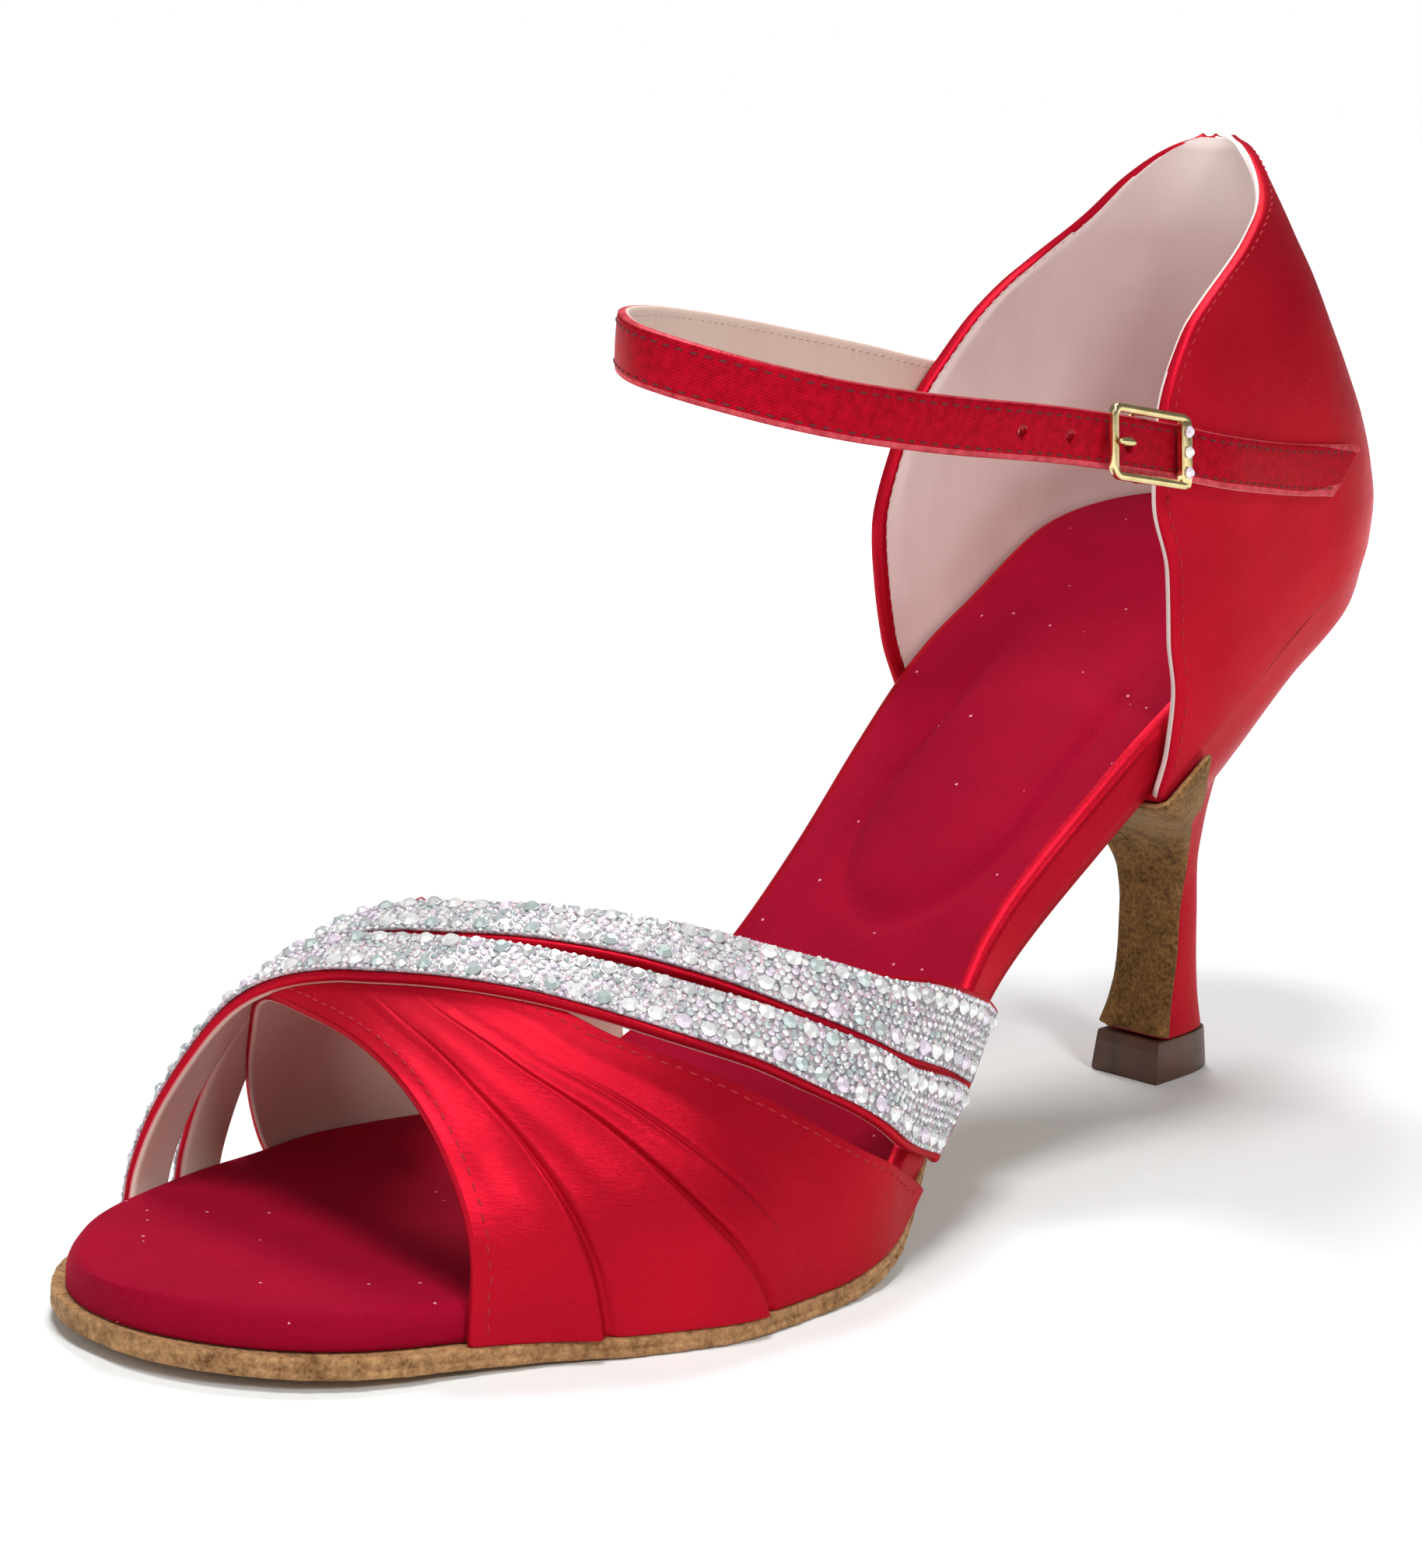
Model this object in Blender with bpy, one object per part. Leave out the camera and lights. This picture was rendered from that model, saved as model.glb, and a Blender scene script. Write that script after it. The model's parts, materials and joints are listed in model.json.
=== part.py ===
# Ballroom dance sandal for the left foot, built in metres with +Z up.
# The toe points to -Y and the outer side of the foot is +X. The origin is on the floor, under the middle of the
# heel's top piece. A station is a share of SHOE_LENGTH, from the back of the insole (0) to its toe (1).
import math

import bmesh
import bpy
import numpy as np

# Driving sizes
SHOE_LENGTH = 0.225  # back of the insole to the tip of its toe, along the floor
BALL_WIDTH = 0.080  # insole, across the ball of the foot
SEAT_WIDTH = 0.050  # insole, across the heel
SEAT_RISE = 0.078  # underside of the insole at the back of the heel, above that at the ball
TOE_SPRING = 0.0019
HEEL_SETBACK = 0.0305  # middle of the top piece to the back of the insole
CLEARANCE = 0.0003  # between pieces that are glued or stitched together

OUTSOLE_THICKNESS = 0.003
OUTSOLE_WAIST_THICKNESS = 0.0016
OUTSOLE_MARGIN = 0.0020  # the outsole stands proud of the insole round the forepart
OUTSOLE_INSET = 0.0012  # and lies inside its edge at the waist
INSOLE_TOE_THICKNESS = 0.0048
INSOLE_WAIST_THICKNESS = 0.0088
INSOLE_SEAT_THICKNESS = 0.0065
INSOLE_EDGE_ROUND = 0.0020
INSOLE_TOE_ROUND = 0.0038  # the same edge in front of the band

COUNTER_WALL = 0.0020
COUNTER_TOP = 0.1425  # highest point of the heel cup above the floor
BREAST_STATION = 0.305  # front of the heel, where the sole turns down

VAMP_HEIGHT = 0.0415  # inside of the front upper at the ball, above the insole's underside
BAND_WALL = 0.0014
PLEAT_DEPTH = 0.0009
STRAP_WIDTH = 0.0082
STRAP_WALL = 0.0016
TRIM_WIDTH = 0.0073
TRIM_WALL = 0.0008

TOP_PIECE_HEIGHT = 0.0066
TOP_PIECE_WIDTH = 0.0125
TOP_PIECE_LENGTH = 0.0165
COVER_WALL = 0.0009

ANKLE_STRAP_WIDTH = 0.0072
ANKLE_STRAP_WALL = 0.0015
HOLE_RADIUS = 0.0009
TAB_WALL = 0.0009
BUCKLE_LENGTH = 0.0172
BUCKLE_WIDTH = 0.0103
BUCKLE_BAR = 0.0012
CRYSTAL_RADIUS = 0.00085


class Table:
    """Rows chosen by hand. A column is read between its rows on a smooth curve that never overshoots them."""

    def __init__(self, columns, rows):
        names = columns.split()
        values = np.array(rows, float)
        self.key = values[:, 0]
        self.columns = {name: values[:, i] for i, name in enumerate(names) if i}

    def at(self, name, where):
        key, value = self.key, self.columns[name]
        gap = np.diff(key)
        slope = np.diff(value) / gap
        tangent = np.empty(len(key))
        tangent[0], tangent[-1] = slope[0], slope[-1]
        for i in range(1, len(key) - 1):
            a, b = slope[i - 1], slope[i]
            left, right = 2 * gap[i] + gap[i - 1], gap[i] + 2 * gap[i - 1]
            tangent[i] = 0.0 if a * b <= 0 else (left + right) / (left / a + right / b)
        where = np.clip(np.asarray(where, float), key[0], key[-1])
        i = np.clip(np.searchsorted(key, where, side="right") - 1, 0, len(key) - 2)
        t = (where - key[i]) / gap[i]
        return (
            value[i] * (1 + 2 * t) * (1 - t) ** 2
            + tangent[i] * gap[i] * t * (1 - t) ** 2
            + value[i + 1] * t * t * (3 - 2 * t)
            + tangent[i + 1] * gap[i] * t * t * (t - 1)
        )


# Plan of the insole. middle is a share of BALL_WIDTH, towards the outer side; the half width is ball shares of
# BALL_WIDTH plus seat shares of SEAT_WIDTH. The two ends are rounded off by round_end.
PLAN = Table(
    "station middle ball seat",
    [
        (0.00, -0.031, 0.000, 0.460),
        (0.12, -0.026, 0.000, 0.505),
        (0.24, -0.019, 0.000, 0.515),
        (0.34, -0.006, 0.030, 0.420),
        (0.44, 0.011, 0.130, 0.215),
        (0.515, 0.033, 0.255, 0.090),
        (0.595, 0.027, 0.400, 0.000),
        (0.67, -0.019, 0.484, 0.000),
        (0.73, -0.034, 0.499, 0.000),
        (0.785, -0.052, 0.463, 0.000),
        (0.845, -0.078, 0.405, 0.000),
        (0.90, -0.085, 0.352, 0.000),
        (0.95, -0.091, 0.324, 0.000),
        (1.00, -0.113, 0.296, 0.000),
    ],
)
HEEL_ROUND = 0.135  # share of SHOE_LENGTH over which the back is round
TOE_ROUND = 0.105

# Side profile of the insole's underside. rise is a share of SEAT_RISE, spring of TOE_SPRING.
PROFILE = Table(
    "station rise spring",
    [
        (0.00, 1.000, 0.0),
        (0.05, 0.990, 0.0),
        (0.13, 0.943, 0.0),
        (0.226, 0.785, 0.0),
        (0.322, 0.592, 0.0),
        (0.42, 0.375, 0.0),
        (0.516, 0.145, 0.0),
        (0.60, 0.020, 0.0),
        (0.67, 0.000, 0.0),
        (0.78, 0.000, 0.0),
        (0.84, 0.000, 0.24),
        (0.89, 0.000, 0.48),
        (0.94, 0.000, 0.72),
        (1.00, 0.000, 1.0),
    ],
)
# How much of each thickness counts at a station.
INSOLE_LAYERS = Table(
    "station seat waist toe",
    [
        (0.00, 1.0, 0.0, 0.0),
        (0.18, 1.0, 0.0, 0.0),
        (0.32, 0.0, 1.0, 0.0),
        (0.52, 0.0, 1.0, 0.0),
        (0.66, 0.0, 0.0, 1.0),
        (1.00, 0.0, 0.0, 1.0),
    ],
)
OUTSOLE_LAYERS = Table(
    "station waist tread",
    [
        (0.28, 1.0, 0.0),
        (0.50, 1.0, 0.0),
        (0.59, 0.0, 1.0),
        (1.00, 0.0, 1.0),
    ],
)

# Heel cup, from the insole's underside (level 0) to its top (level 1). outer and inner are the stations where the
# two front edges stand, lean is how far the back has moved forward as a share of HEEL_SETBACK, and girth is the
# width as a share of the insole's.
CUP = Table(
    "level outer inner lean girth",
    [
        (0.00, 0.302, 0.270, 0.00, 1.00),
        (0.06, 0.297, 0.278, -0.02, 1.03),
        (0.15, 0.296, 0.290, -0.02, 1.05),
        (0.25, 0.302, 0.299, 0.04, 1.05),
        (0.36, 0.304, 0.305, 0.15, 1.04),
        (0.48, 0.316, 0.276, 0.32, 1.02),
        (0.60, 0.308, 0.200, 0.49, 0.98),
        (0.70, 0.272, 0.115, 0.61, 0.92),
        (0.80, 0.163, 0.065, 0.73, 0.83),
        (0.90, 0.084, 0.038, 0.80, 0.69),
        (0.96, 0.042, 0.019, 0.83, 0.58),
        (0.985, 0.021, 0.009, 0.84, 0.52),
        (1.00, 0.004, 0.002, 0.84, 0.48),
    ],
)

# Height of the front upper's inside as a share of VAMP_HEIGHT.
INSTEP = Table(
    "station height",
    [
        (0.50, 1.22),
        (0.60, 1.15),
        (0.70, 1.05),
        (0.78, 0.94),
        (0.86, 0.74),
        (0.94, 0.50),
        (1.00, 0.34),
    ],
)
INSTEP_SKEW = 0.11  # the ridge lies this share of the half width towards the inner side
INSTEP_FULLNESS = 2.25  # 2 is an ellipse, more is boxier
INNER_FULLNESS = 1.68  # the same for the foot of the arch on the inner side

# Stations of the pleated band's edges. around goes from the outer edge of the sole (0) over the foot to the inner (1).
# The pleats are shares of the way from the front edge to the rear.
BAND = Table(
    "around front rear pleat_a pleat_b pleat_c fold",
    [
        (0.00, 0.874, 0.555, 0.20, 0.482, 0.60, 1.0),
        (0.05, 0.873, 0.594, 0.21, 0.482, 0.60, 1.0),
        (0.10, 0.871, 0.640, 0.22, 0.481, 0.61, 1.0),
        (0.20, 0.868, 0.716, 0.24, 0.495, 0.63, 0.8),
        (0.30, 0.863, 0.767, 0.26, 0.505, 0.65, 0.5),
        (0.40, 0.858, 0.783, 0.28, 0.500, 0.66, 0.1),
        (0.50, 0.853, 0.760, 0.28, 0.500, 0.66, 0.0),
        (0.65, 0.835, 0.712, 0.28, 0.500, 0.66, 0.0),
        (0.75, 0.815, 0.655, 0.28, 0.500, 0.66, 0.2),
        (0.84, 0.796, 0.572, 0.28, 0.500, 0.66, 0.6),
        (0.92, 0.777, 0.548, 0.28, 0.500, 0.66, 0.7),
        (1.00, 0.757, 0.545, 0.28, 0.500, 0.66, 0.8),
    ],
)
# Stations of the middle of the two rhinestone straps. width is a share of the strap's width, and over is 1 where
# they lie on the band.
STRAPS = Table(
    "around first second width over",
    [
        (0.00, 0.513, 0.470, 1.00, 0.0),
        (0.08, 0.572, 0.521, 1.00, 0.0),
        (0.14, 0.615, 0.560, 1.00, 0.1),
        (0.20, 0.662, 0.602, 1.00, 0.4),
        (0.28, 0.722, 0.659, 1.00, 0.8),
        (0.34, 0.755, 0.697, 1.00, 1.0),
        (0.42, 0.786, 0.737, 1.00, 1.0),
        (0.50, 0.808, 0.768, 1.00, 1.0),
        (0.60, 0.826, 0.789, 1.00, 1.0),
        (0.75, 0.845, 0.806, 0.98, 1.0),
        (0.90, 0.867, 0.820, 0.88, 0.3),
        (1.00, 0.880, 0.832, 0.74, 0.0),
    ],
)

# The heel, from the seat (drop 0) to the top piece (drop 1). back and front are shares of the way from the top
# piece's edge to the seat's; back_rise and front_rise are shares of the seat's height there; half is a share of the
# way from the top piece's half width to the seat's; seat is how far a section follows the seat's own outline, and
# wrap is how far the suede cover reaches round the sides.
HEEL = Table(
    "drop back_rise front_rise back front half seat wrap",
    [
        (0.00, 1.000, 1.000, 1.000, 1.000, 1.000, 1.00, 0.064),
        (0.06, 0.940, 0.930, 0.950, 0.780, 0.880, 0.75, 0.040),
        (0.13, 0.860, 0.870, 0.620, 0.500, 0.640, 0.40, 0.028),
        (0.21, 0.780, 0.810, 0.270, 0.260, 0.360, 0.12, 0.030),
        (0.30, 0.690, 0.740, 0.065, 0.060, 0.140, 0.00, 0.030),
        (0.40, 0.585, 0.650, -0.040, -0.080, 0.020, 0.00, 0.018),
        (0.50, 0.480, 0.540, -0.120, -0.145, -0.035, 0.00, 0.016),
        (0.60, 0.375, 0.420, -0.165, -0.160, -0.055, 0.00, 0.016),
        (0.70, 0.270, 0.300, -0.140, -0.160, -0.055, 0.00, 0.016),
        (0.80, 0.170, 0.190, -0.112, -0.145, -0.057, 0.00, 0.016),
        (0.90, 0.080, 0.090, -0.080, -0.110, -0.045, 0.00, 0.016),
        (1.00, 0.000, 0.000, -0.035, -0.065, -0.015, 0.00, 0.016),
    ],
)

# Ankle strap where it is free of the heel cup, from the inner side round to the outer. aside is a share of
# SEAT_WIDTH, rise of COUNTER_TOP, lean of ANKLE_STRAP_WIDTH.
ANKLE = Table(
    "step aside station rise lean",
    [
        (0, -0.570, 0.318, 0.757, 0.05),
        (1, -0.530, 0.393, 0.777, 0.05),
        (2, -0.460, 0.478, 0.798, 0.05),
        (3, -0.330, 0.567, 0.815, 0.05),
        (4, -0.150, 0.633, 0.821, 0.05),
        (5, 0.010, 0.662, 0.815, 0.05),
        (6, 0.150, 0.666, 0.807, 0.03),
        (7, 0.270, 0.651, 0.795, 0.00),
        (8, 0.370, 0.622, 0.781, 0.00),
        (9, 0.440, 0.580, 0.767, 0.00),
        (10, 0.490, 0.518, 0.753, 0.00),
        (11, 0.526, 0.438, 0.739, 0.00),
        (12, 0.545, 0.376, 0.725, -0.05),
    ],
)
# Ankle strap where it lies on the heel cup. rise is a share of COUNTER_TOP.
LAID_INNER = Table("station rise", [(0.20, 0.729), (0.262, 0.745)])
LAID_OUTER = Table("station rise", [(0.125, 0.672), (0.20, 0.684), (0.27, 0.699), (0.31, 0.710)])
BUCKLE_STATION = 0.358
HOLE_STATIONS = (0.424, 0.464)


def y_of(station):
    return HEEL_SETBACK - SHOE_LENGTH * np.asarray(station, float)


def round_end(share):
    share = np.clip(share, 0.0, 1.0)
    return np.sqrt(np.clip(1 - (1 - share) ** 2, 0.0, 1.0))


def plan_edges(station):
    """The x of the insole's outer and inner edge."""
    station = np.asarray(station, float)
    middle = BALL_WIDTH * PLAN.at("middle", station)
    half = BALL_WIDTH * PLAN.at("ball", station) + SEAT_WIDTH * PLAN.at("seat", station)
    half = half * round_end(station / HEEL_ROUND) * round_end((1 - station) / TOE_ROUND)
    return middle + half, middle - half


def base_height(station):
    """Underside of the insole. The outsole and the heel end a clearance below it."""
    rise = SEAT_RISE * PROFILE.at("rise", station)
    return OUTSOLE_THICKNESS + rise + TOE_SPRING * PROFILE.at("spring", station)


def insole_thickness(station):
    return (
        INSOLE_SEAT_THICKNESS * INSOLE_LAYERS.at("seat", station)
        + INSOLE_WAIST_THICKNESS * INSOLE_LAYERS.at("waist", station)
        + INSOLE_TOE_THICKNESS * INSOLE_LAYERS.at("toe", station)
    )


def arch_point(station, around):
    """Inside of the front upper: one arch across the foot at each station."""
    station, around = np.broadcast_arrays(np.asarray(station, float), np.asarray(around, float))
    outer, inner = plan_edges(station)
    middle, half = (outer + inner) / 2, (outer - inner) / 2 + CLEARANCE
    angle = np.pi * np.clip(around, 0.0, 1.0)
    height, straight = VAMP_HEIGHT * INSTEP.at("height", station), insole_thickness(station)
    inner_share = np.clip((around - 0.5) / 0.3, 0.0, 1.0)
    inner_share = inner_share**2 * (3 - 2 * inner_share)
    fullness = INSTEP_FULLNESS + (INNER_FULLNESS - INSTEP_FULLNESS) * inner_share
    rise = height * np.abs(np.sin(angle)) ** (2 / fullness)
    share = np.clip((rise - straight) / (height - straight), 0.0, 1.0)
    reach = (1 - share**fullness) ** (1 / fullness)
    x = middle + half * np.sign(np.cos(angle)) * reach - INSTEP_SKEW * half * share**2
    return np.stack([x, y_of(station), base_height(station) + rise], axis=-1)


def arch_normal(station, around):
    step = 0.004
    low, high = np.clip(around - step, 0, 1), np.clip(around + step, 0, 1)
    over = arch_point(station, high) - arch_point(station, low)
    along = arch_point(station + step, around) - arch_point(station - step, around)
    return unit(np.cross(over, along))


def unit(vectors):
    return vectors / np.maximum(np.linalg.norm(vectors, axis=-1, keepdims=True), 1e-12)


def evenly(points, count):
    """The same polyline through count points, evenly spaced along it."""
    points = np.asarray(points, float)
    run = np.r_[0, np.cumsum(np.linalg.norm(np.diff(points, axis=0), axis=1))]
    wanted = np.linspace(0, run[-1], count)
    return np.stack([np.interp(wanted, run, points[:, i]) for i in range(points.shape[1])], axis=1)


def smooth_path(points, count):
    """A smooth curve through hand-placed points, then evenly spaced."""
    points = np.asarray(points, float)
    padded = np.vstack([2 * points[0] - points[1], points, 2 * points[-1] - points[-2]])
    t = np.linspace(0, 1, 12, endpoint=False)[:, None]
    fine = []
    for p0, p1, p2, p3 in zip(padded[:-3], padded[1:-2], padded[2:-1], padded[3:]):
        fine.append(
            0.5 * (2 * p1 + (p2 - p0) * t + (2 * p0 - 5 * p1 + 4 * p2 - p3) * t**2 + (3 * p1 - p0 - 3 * p2 + p3) * t**3)
        )
    return evenly(np.vstack(fine + [points[-1:]]), count)


PART = bpy.data.collections.new("ballroom_sandal")
CUTTERS = bpy.data.collections.new("cutters")


def clear_scene():
    for old in list(bpy.data.objects):
        bpy.data.objects.remove(old, do_unlink=True)
    bpy.context.scene.collection.children.link(PART)
    bpy.context.scene.collection.children.link(CUTTERS)


def material(name, colour, roughness, metallic=0.0):
    surface = bpy.data.materials.new(name)
    surface.use_nodes = True
    shader = surface.node_tree.nodes["Principled BSDF"]
    shader.inputs["Base Color"].default_value = (*[((c + 0.055) / 1.055) ** 2.4 for c in colour], 1.0)
    shader.inputs["Roughness"].default_value = roughness
    shader.inputs["Metallic"].default_value = metallic
    surface.diffuse_color = (*colour, 1.0)
    surface.roughness = roughness
    surface.metallic = metallic
    return surface


def node_from(name, points, faces, surface, collection=None):
    mesh = bpy.data.meshes.new(name)
    mesh.from_pydata([tuple(p) for p in points], [], faces)
    work = bmesh.new()
    work.from_mesh(mesh)
    bmesh.ops.remove_doubles(work, verts=work.verts, dist=1e-7)
    bmesh.ops.recalc_face_normals(work, faces=work.faces)
    work.to_mesh(mesh)
    work.free()
    if surface:
        mesh.materials.append(surface)
    node = bpy.data.objects.new(name, mesh)
    (collection or PART).objects.link(node)
    return node


def loft(name, rings, surface, ladders=(), collection=None):
    """A closed body through rings of matching points. An end named in ladders is closed by rungs between the two
    sides of its ring, so that it follows a curved face; the other ends are flat."""
    rings = np.asarray(rings, float)
    rows, size = rings.shape[:2]
    faces = []
    for i in range(rows - 1):
        for j in range(size):
            k = (j + 1) % size
            faces.append((i * size + j, i * size + k, (i + 1) * size + k, (i + 1) * size + j))
    for end in (0, rows - 1):
        at = end * size
        if end in ladders:
            last = size - 1
            for j in range(size // 2 - 1):
                faces.append((at + j, at + j + 1, at + last - j - 1, at + last - j))
            if size % 2:
                middle = size // 2
                faces.append((at + middle - 1, at + middle, at + middle + 1))
        else:
            faces.append(tuple(range(at, at + size)))
    return node_from(name, rings.reshape(-1, 3), faces, surface, collection)


def shell(name, inside, outside, surface, swell=0.0, collection=None):
    """A sheet with real thickness between two grids. Its two long edges are rounded out by swell."""
    inside, outside = np.asarray(inside, float), np.asarray(outside, float)
    rows, columns = inside.shape[:2]
    if swell:
        first = (inside[:, 0] + outside[:, 0]) / 2 + unit(inside[:, 0] - inside[:, 1]) * swell
        last = (inside[:, -1] + outside[:, -1]) / 2 + unit(inside[:, -1] - inside[:, -2]) * swell
        rim = [first[:, None], last[:, None]]
    else:
        rim = []
    across = np.concatenate([outside] + rim[1:] + [inside[:, ::-1]] + rim[:1], axis=1)
    size = across.shape[1]
    faces = []
    for i in range(rows - 1):
        for j in range(size):
            k = (j + 1) % size
            faces.append((i * size + j, i * size + k, (i + 1) * size + k, (i + 1) * size + j))
    inner_first = size - 1 - (1 if swell else 0)
    for at in (0, (rows - 1) * size):
        for j in range(columns - 1):
            faces.append((at + j, at + j + 1, at + inner_first - j - 1, at + inner_first - j))
        if swell:
            faces.append((at + columns - 1, at + columns, at + columns + 1))
            faces.append((at, at + inner_first, at + size - 1))
    return node_from(name, across.reshape(-1, 3), faces, surface, collection)


def joined(target, others):
    """One closed body from shapes that cross."""
    for other in others:
        step = target.modifiers.new("join", "BOOLEAN")
        step.operation, step.solver, step.object = "UNION", "EXACT", other
    bake(target)
    for other in others:
        bpy.data.objects.remove(other, do_unlink=True)
    return target


def pierced(target, cutters):
    for cutter in cutters:
        cutter.hide_render, cutter.display_type = True, "WIRE"
        step = target.modifiers.new("hole", "BOOLEAN")
        step.operation, step.solver, step.object = "DIFFERENCE", "EXACT", cutter
    bake(target)
    return target


def bake(target):
    bpy.context.view_layer.update()
    graph = bpy.context.evaluated_depsgraph_get()
    mesh = bpy.data.meshes.new_from_object(target.evaluated_get(graph))
    target.modifiers.clear()
    target.data = mesh
    work = bmesh.new()
    work.from_mesh(mesh)
    bmesh.ops.remove_doubles(work, verts=work.verts, dist=1e-7)
    bmesh.ops.triangulate(work, faces=[f for f in work.faces if len(f.verts) > 4])
    work.to_mesh(mesh)
    work.free()


def end_spaced(low, high, count, low_round, high_round):
    """Stations from low to high, closer together towards the ends that are round."""
    t = np.linspace(0, 1, count)
    start = 1 - np.cos(np.pi / 2 * t) if low_round else t
    finish = np.sin(np.pi / 2 * t) if high_round else t
    return low + (high - low) * (start * (1 - t) + finish * t)


# Insole
def make_insole(surface):
    rings = []
    for station in end_spaced(0.0012, 0.9988, 44, True, True):
        outer, inner = plan_edges(station)
        low, high = base_height(station), base_height(station) + insole_thickness(station)
        roll = INSOLE_EDGE_ROUND + (INSOLE_TOE_ROUND - INSOLE_EDGE_ROUND) * np.clip((station - 0.88) / 0.08, 0, 1)
        y, curve = y_of(station), min(roll, 0.3 * (outer - inner))
        half_way = (outer + inner) / 2
        side = [(0.0, low), (0.0, high - curve), (0.3 * curve, high - 0.3 * curve), (curve, high)]
        ring = [(outer - d, y, z) for d, z in side]
        ring += [(half_way + (outer - curve - half_way) * 0.45, y, high)]
        ring += [(half_way - (half_way - inner - curve) * 0.45, y, high)]
        ring += [(inner + d, y, z) for d, z in reversed(side)]
        rings.append(ring)
    return loft("insole", rings, surface)


# Outsole
def sole_section(station):
    """Outer edge, inner edge, y, underside and top of the outsole."""
    outer, inner = plan_edges(station)
    tread = OUTSOLE_LAYERS.at("tread", station)
    margin = OUTSOLE_MARGIN * tread - OUTSOLE_INSET * (1 - tread)
    thickness = OUTSOLE_THICKNESS * tread + OUTSOLE_WAIST_THICKNESS * (1 - tread)
    tip = np.clip((station - 0.8) / 0.2, 0, 1)
    y = y_of(station) - 0.4 * margin * tip**2 * (3 - 2 * tip)
    top = base_height(station) - CLEARANCE
    return outer + margin, inner - margin, y, base_height(station) - thickness, top


def make_outsole(surface):
    rings = []
    for station in end_spaced(BREAST_STATION + 0.012, 0.9988, 34, False, True):
        outer, inner, y, low, high = sole_section(station)
        ply = low + 0.5 * (high - low)
        step = 0.12 * (high - low)
        side = [(step, low), (0.0, low + step), (0.0, ply - step), (step, ply), (step, high)]
        ring = [(outer - d, y, z) for d, z in side]
        ring += [((outer + inner) / 2, y, high)]
        ring += [(inner + d, y, z) for d, z in reversed(side)]
        ring += [((outer + inner) / 2, y, low)]
        rings.append(ring)
    return loft("outsole", rings, surface)


# Heel cup
def cup_level(level, lift, count, reach=None):
    """One level of the heel cup, from its outer front edge round the back to its inner front edge."""
    runs = []
    for side, column in ((0, "outer"), (1, "inner")):
        station = (reach or CUP.at(column, level)) * np.linspace(1, 0, 60) ** 2
        middle = np.mean(plan_edges(station), axis=0)
        x = middle + (plan_edges(station)[side] - middle) * CUP.at("girth", level)
        fade = 1 - np.clip(station / 0.34, 0, 1)
        y = y_of(station) - HEEL_SETBACK * CUP.at("lean", level) * fade
        run = np.stack([x, y, base_height(station) * (1 - level) + COUNTER_TOP * level], axis=1)
        runs.append(run if side == 0 else run[::-1][1:])
    line = np.vstack(runs)
    line = evenly(line, 240)
    heading = unit(np.gradient(line[:, :2], axis=0))
    line[:, :2] += np.stack([-heading[:, 1], heading[:, 0]], axis=1) * -lift
    return evenly(line, count)


def make_counter(surface):
    levels = np.array([0.0, 0.05, 0.12, 0.20, 0.30, 0.40, 0.50, 0.60, 0.69, 0.77, 0.84, 0.90, 0.95, 0.98, 1.0])
    inside = [cup_level(v, CLEARANCE, 27) for v in levels]
    outside = [cup_level(v, CLEARANCE + COUNTER_WALL, 27) for v in levels]
    return shell("counter", inside, outside, surface, swell=0.0005)


# Heel, its suede cover and the top piece
def d_line(front, back, half, count, squareness=0.6):
    """A section with a flat front and a round back, from its outer front corner round to the inner one."""
    angle = np.linspace(0, np.pi, 121)
    across, along = np.cos(angle), np.sin(angle)
    x = half * np.sign(across) * np.abs(across) ** squareness
    y = front + (back - front) * along ** (squareness + 0.25)
    return evenly(np.stack([x, y], axis=1), count)


def heel_line(drop, count):
    """The heel's section at one drop, without the points of its flat front."""
    foot = TOP_PIECE_HEIGHT + CLEARANCE
    seat = cup_level(0.0, CLEARANCE + COUNTER_WALL, count, BREAST_STATION)
    seat_front, seat_back = y_of(BREAST_STATION), HEEL_SETBACK + CLEARANCE + COUNTER_WALL
    seat_middle = (seat[:, 0].max() + seat[:, 0].min()) / 2
    seat_half = (seat[:, 0].max() - seat[:, 0].min()) / 2
    front = -TOP_PIECE_LENGTH / 2 * (1 - HEEL.at("front", drop)) + seat_front * HEEL.at("front", drop)
    back = TOP_PIECE_LENGTH / 2 * (1 - HEEL.at("back", drop)) + seat_back * HEEL.at("back", drop)
    half = TOP_PIECE_WIDTH / 2 * (1 - HEEL.at("half", drop)) + seat_half * HEEL.at("half", drop)
    seated = HEEL.at("seat", drop)
    share = np.clip((seat[:, 1] - seat_front) / (seat_back - seat_front), 0, 1)
    from_seat = np.stack([(seat[:, 0] - seat_middle) * half / seat_half, front + (back - front) * share], axis=1)
    plan = from_seat * seated + d_line(front, back, half, count) * (1 - seated)
    plan[:, 0] += seat_middle * np.clip(HEEL.at("half", drop), 0, 1)
    front_top, back_top = base_height(BREAST_STATION), base_height(0.0)
    low = foot + (front_top - CLEARANCE - foot) * HEEL.at("front_rise", drop)
    high = foot + (back_top - CLEARANCE - foot) * HEEL.at("back_rise", drop)
    along = (plan[:, 1] - front) / (back - front)
    arch = seat[:, 2] - (front_top + (back_top - front_top) * share)
    return np.column_stack([plan, low + (high - low) * along + arch * seated])


def make_heel(surface):
    drops = [0.0, 0.03, 0.07, 0.12, 0.17, 0.23, 0.30, 0.37, 0.44, 0.51, 0.59, 0.67, 0.75, 0.83, 0.91, 1.0]
    rings = []
    for drop in drops:
        line = heel_line(drop, 21)
        middle = (line[-1] + line[0]) / 2
        rings.append(np.vstack([line, [middle]]))
    return loft("heel", rings, surface, ladders=(0,))


def part_way(line, share):
    """The point a share of the way along a line of evenly spaced points."""
    place = share * (len(line) - 1)
    low = min(int(place), len(line) - 2)
    return line[low] + (line[low + 1] - line[low]) * (place - low)


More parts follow.
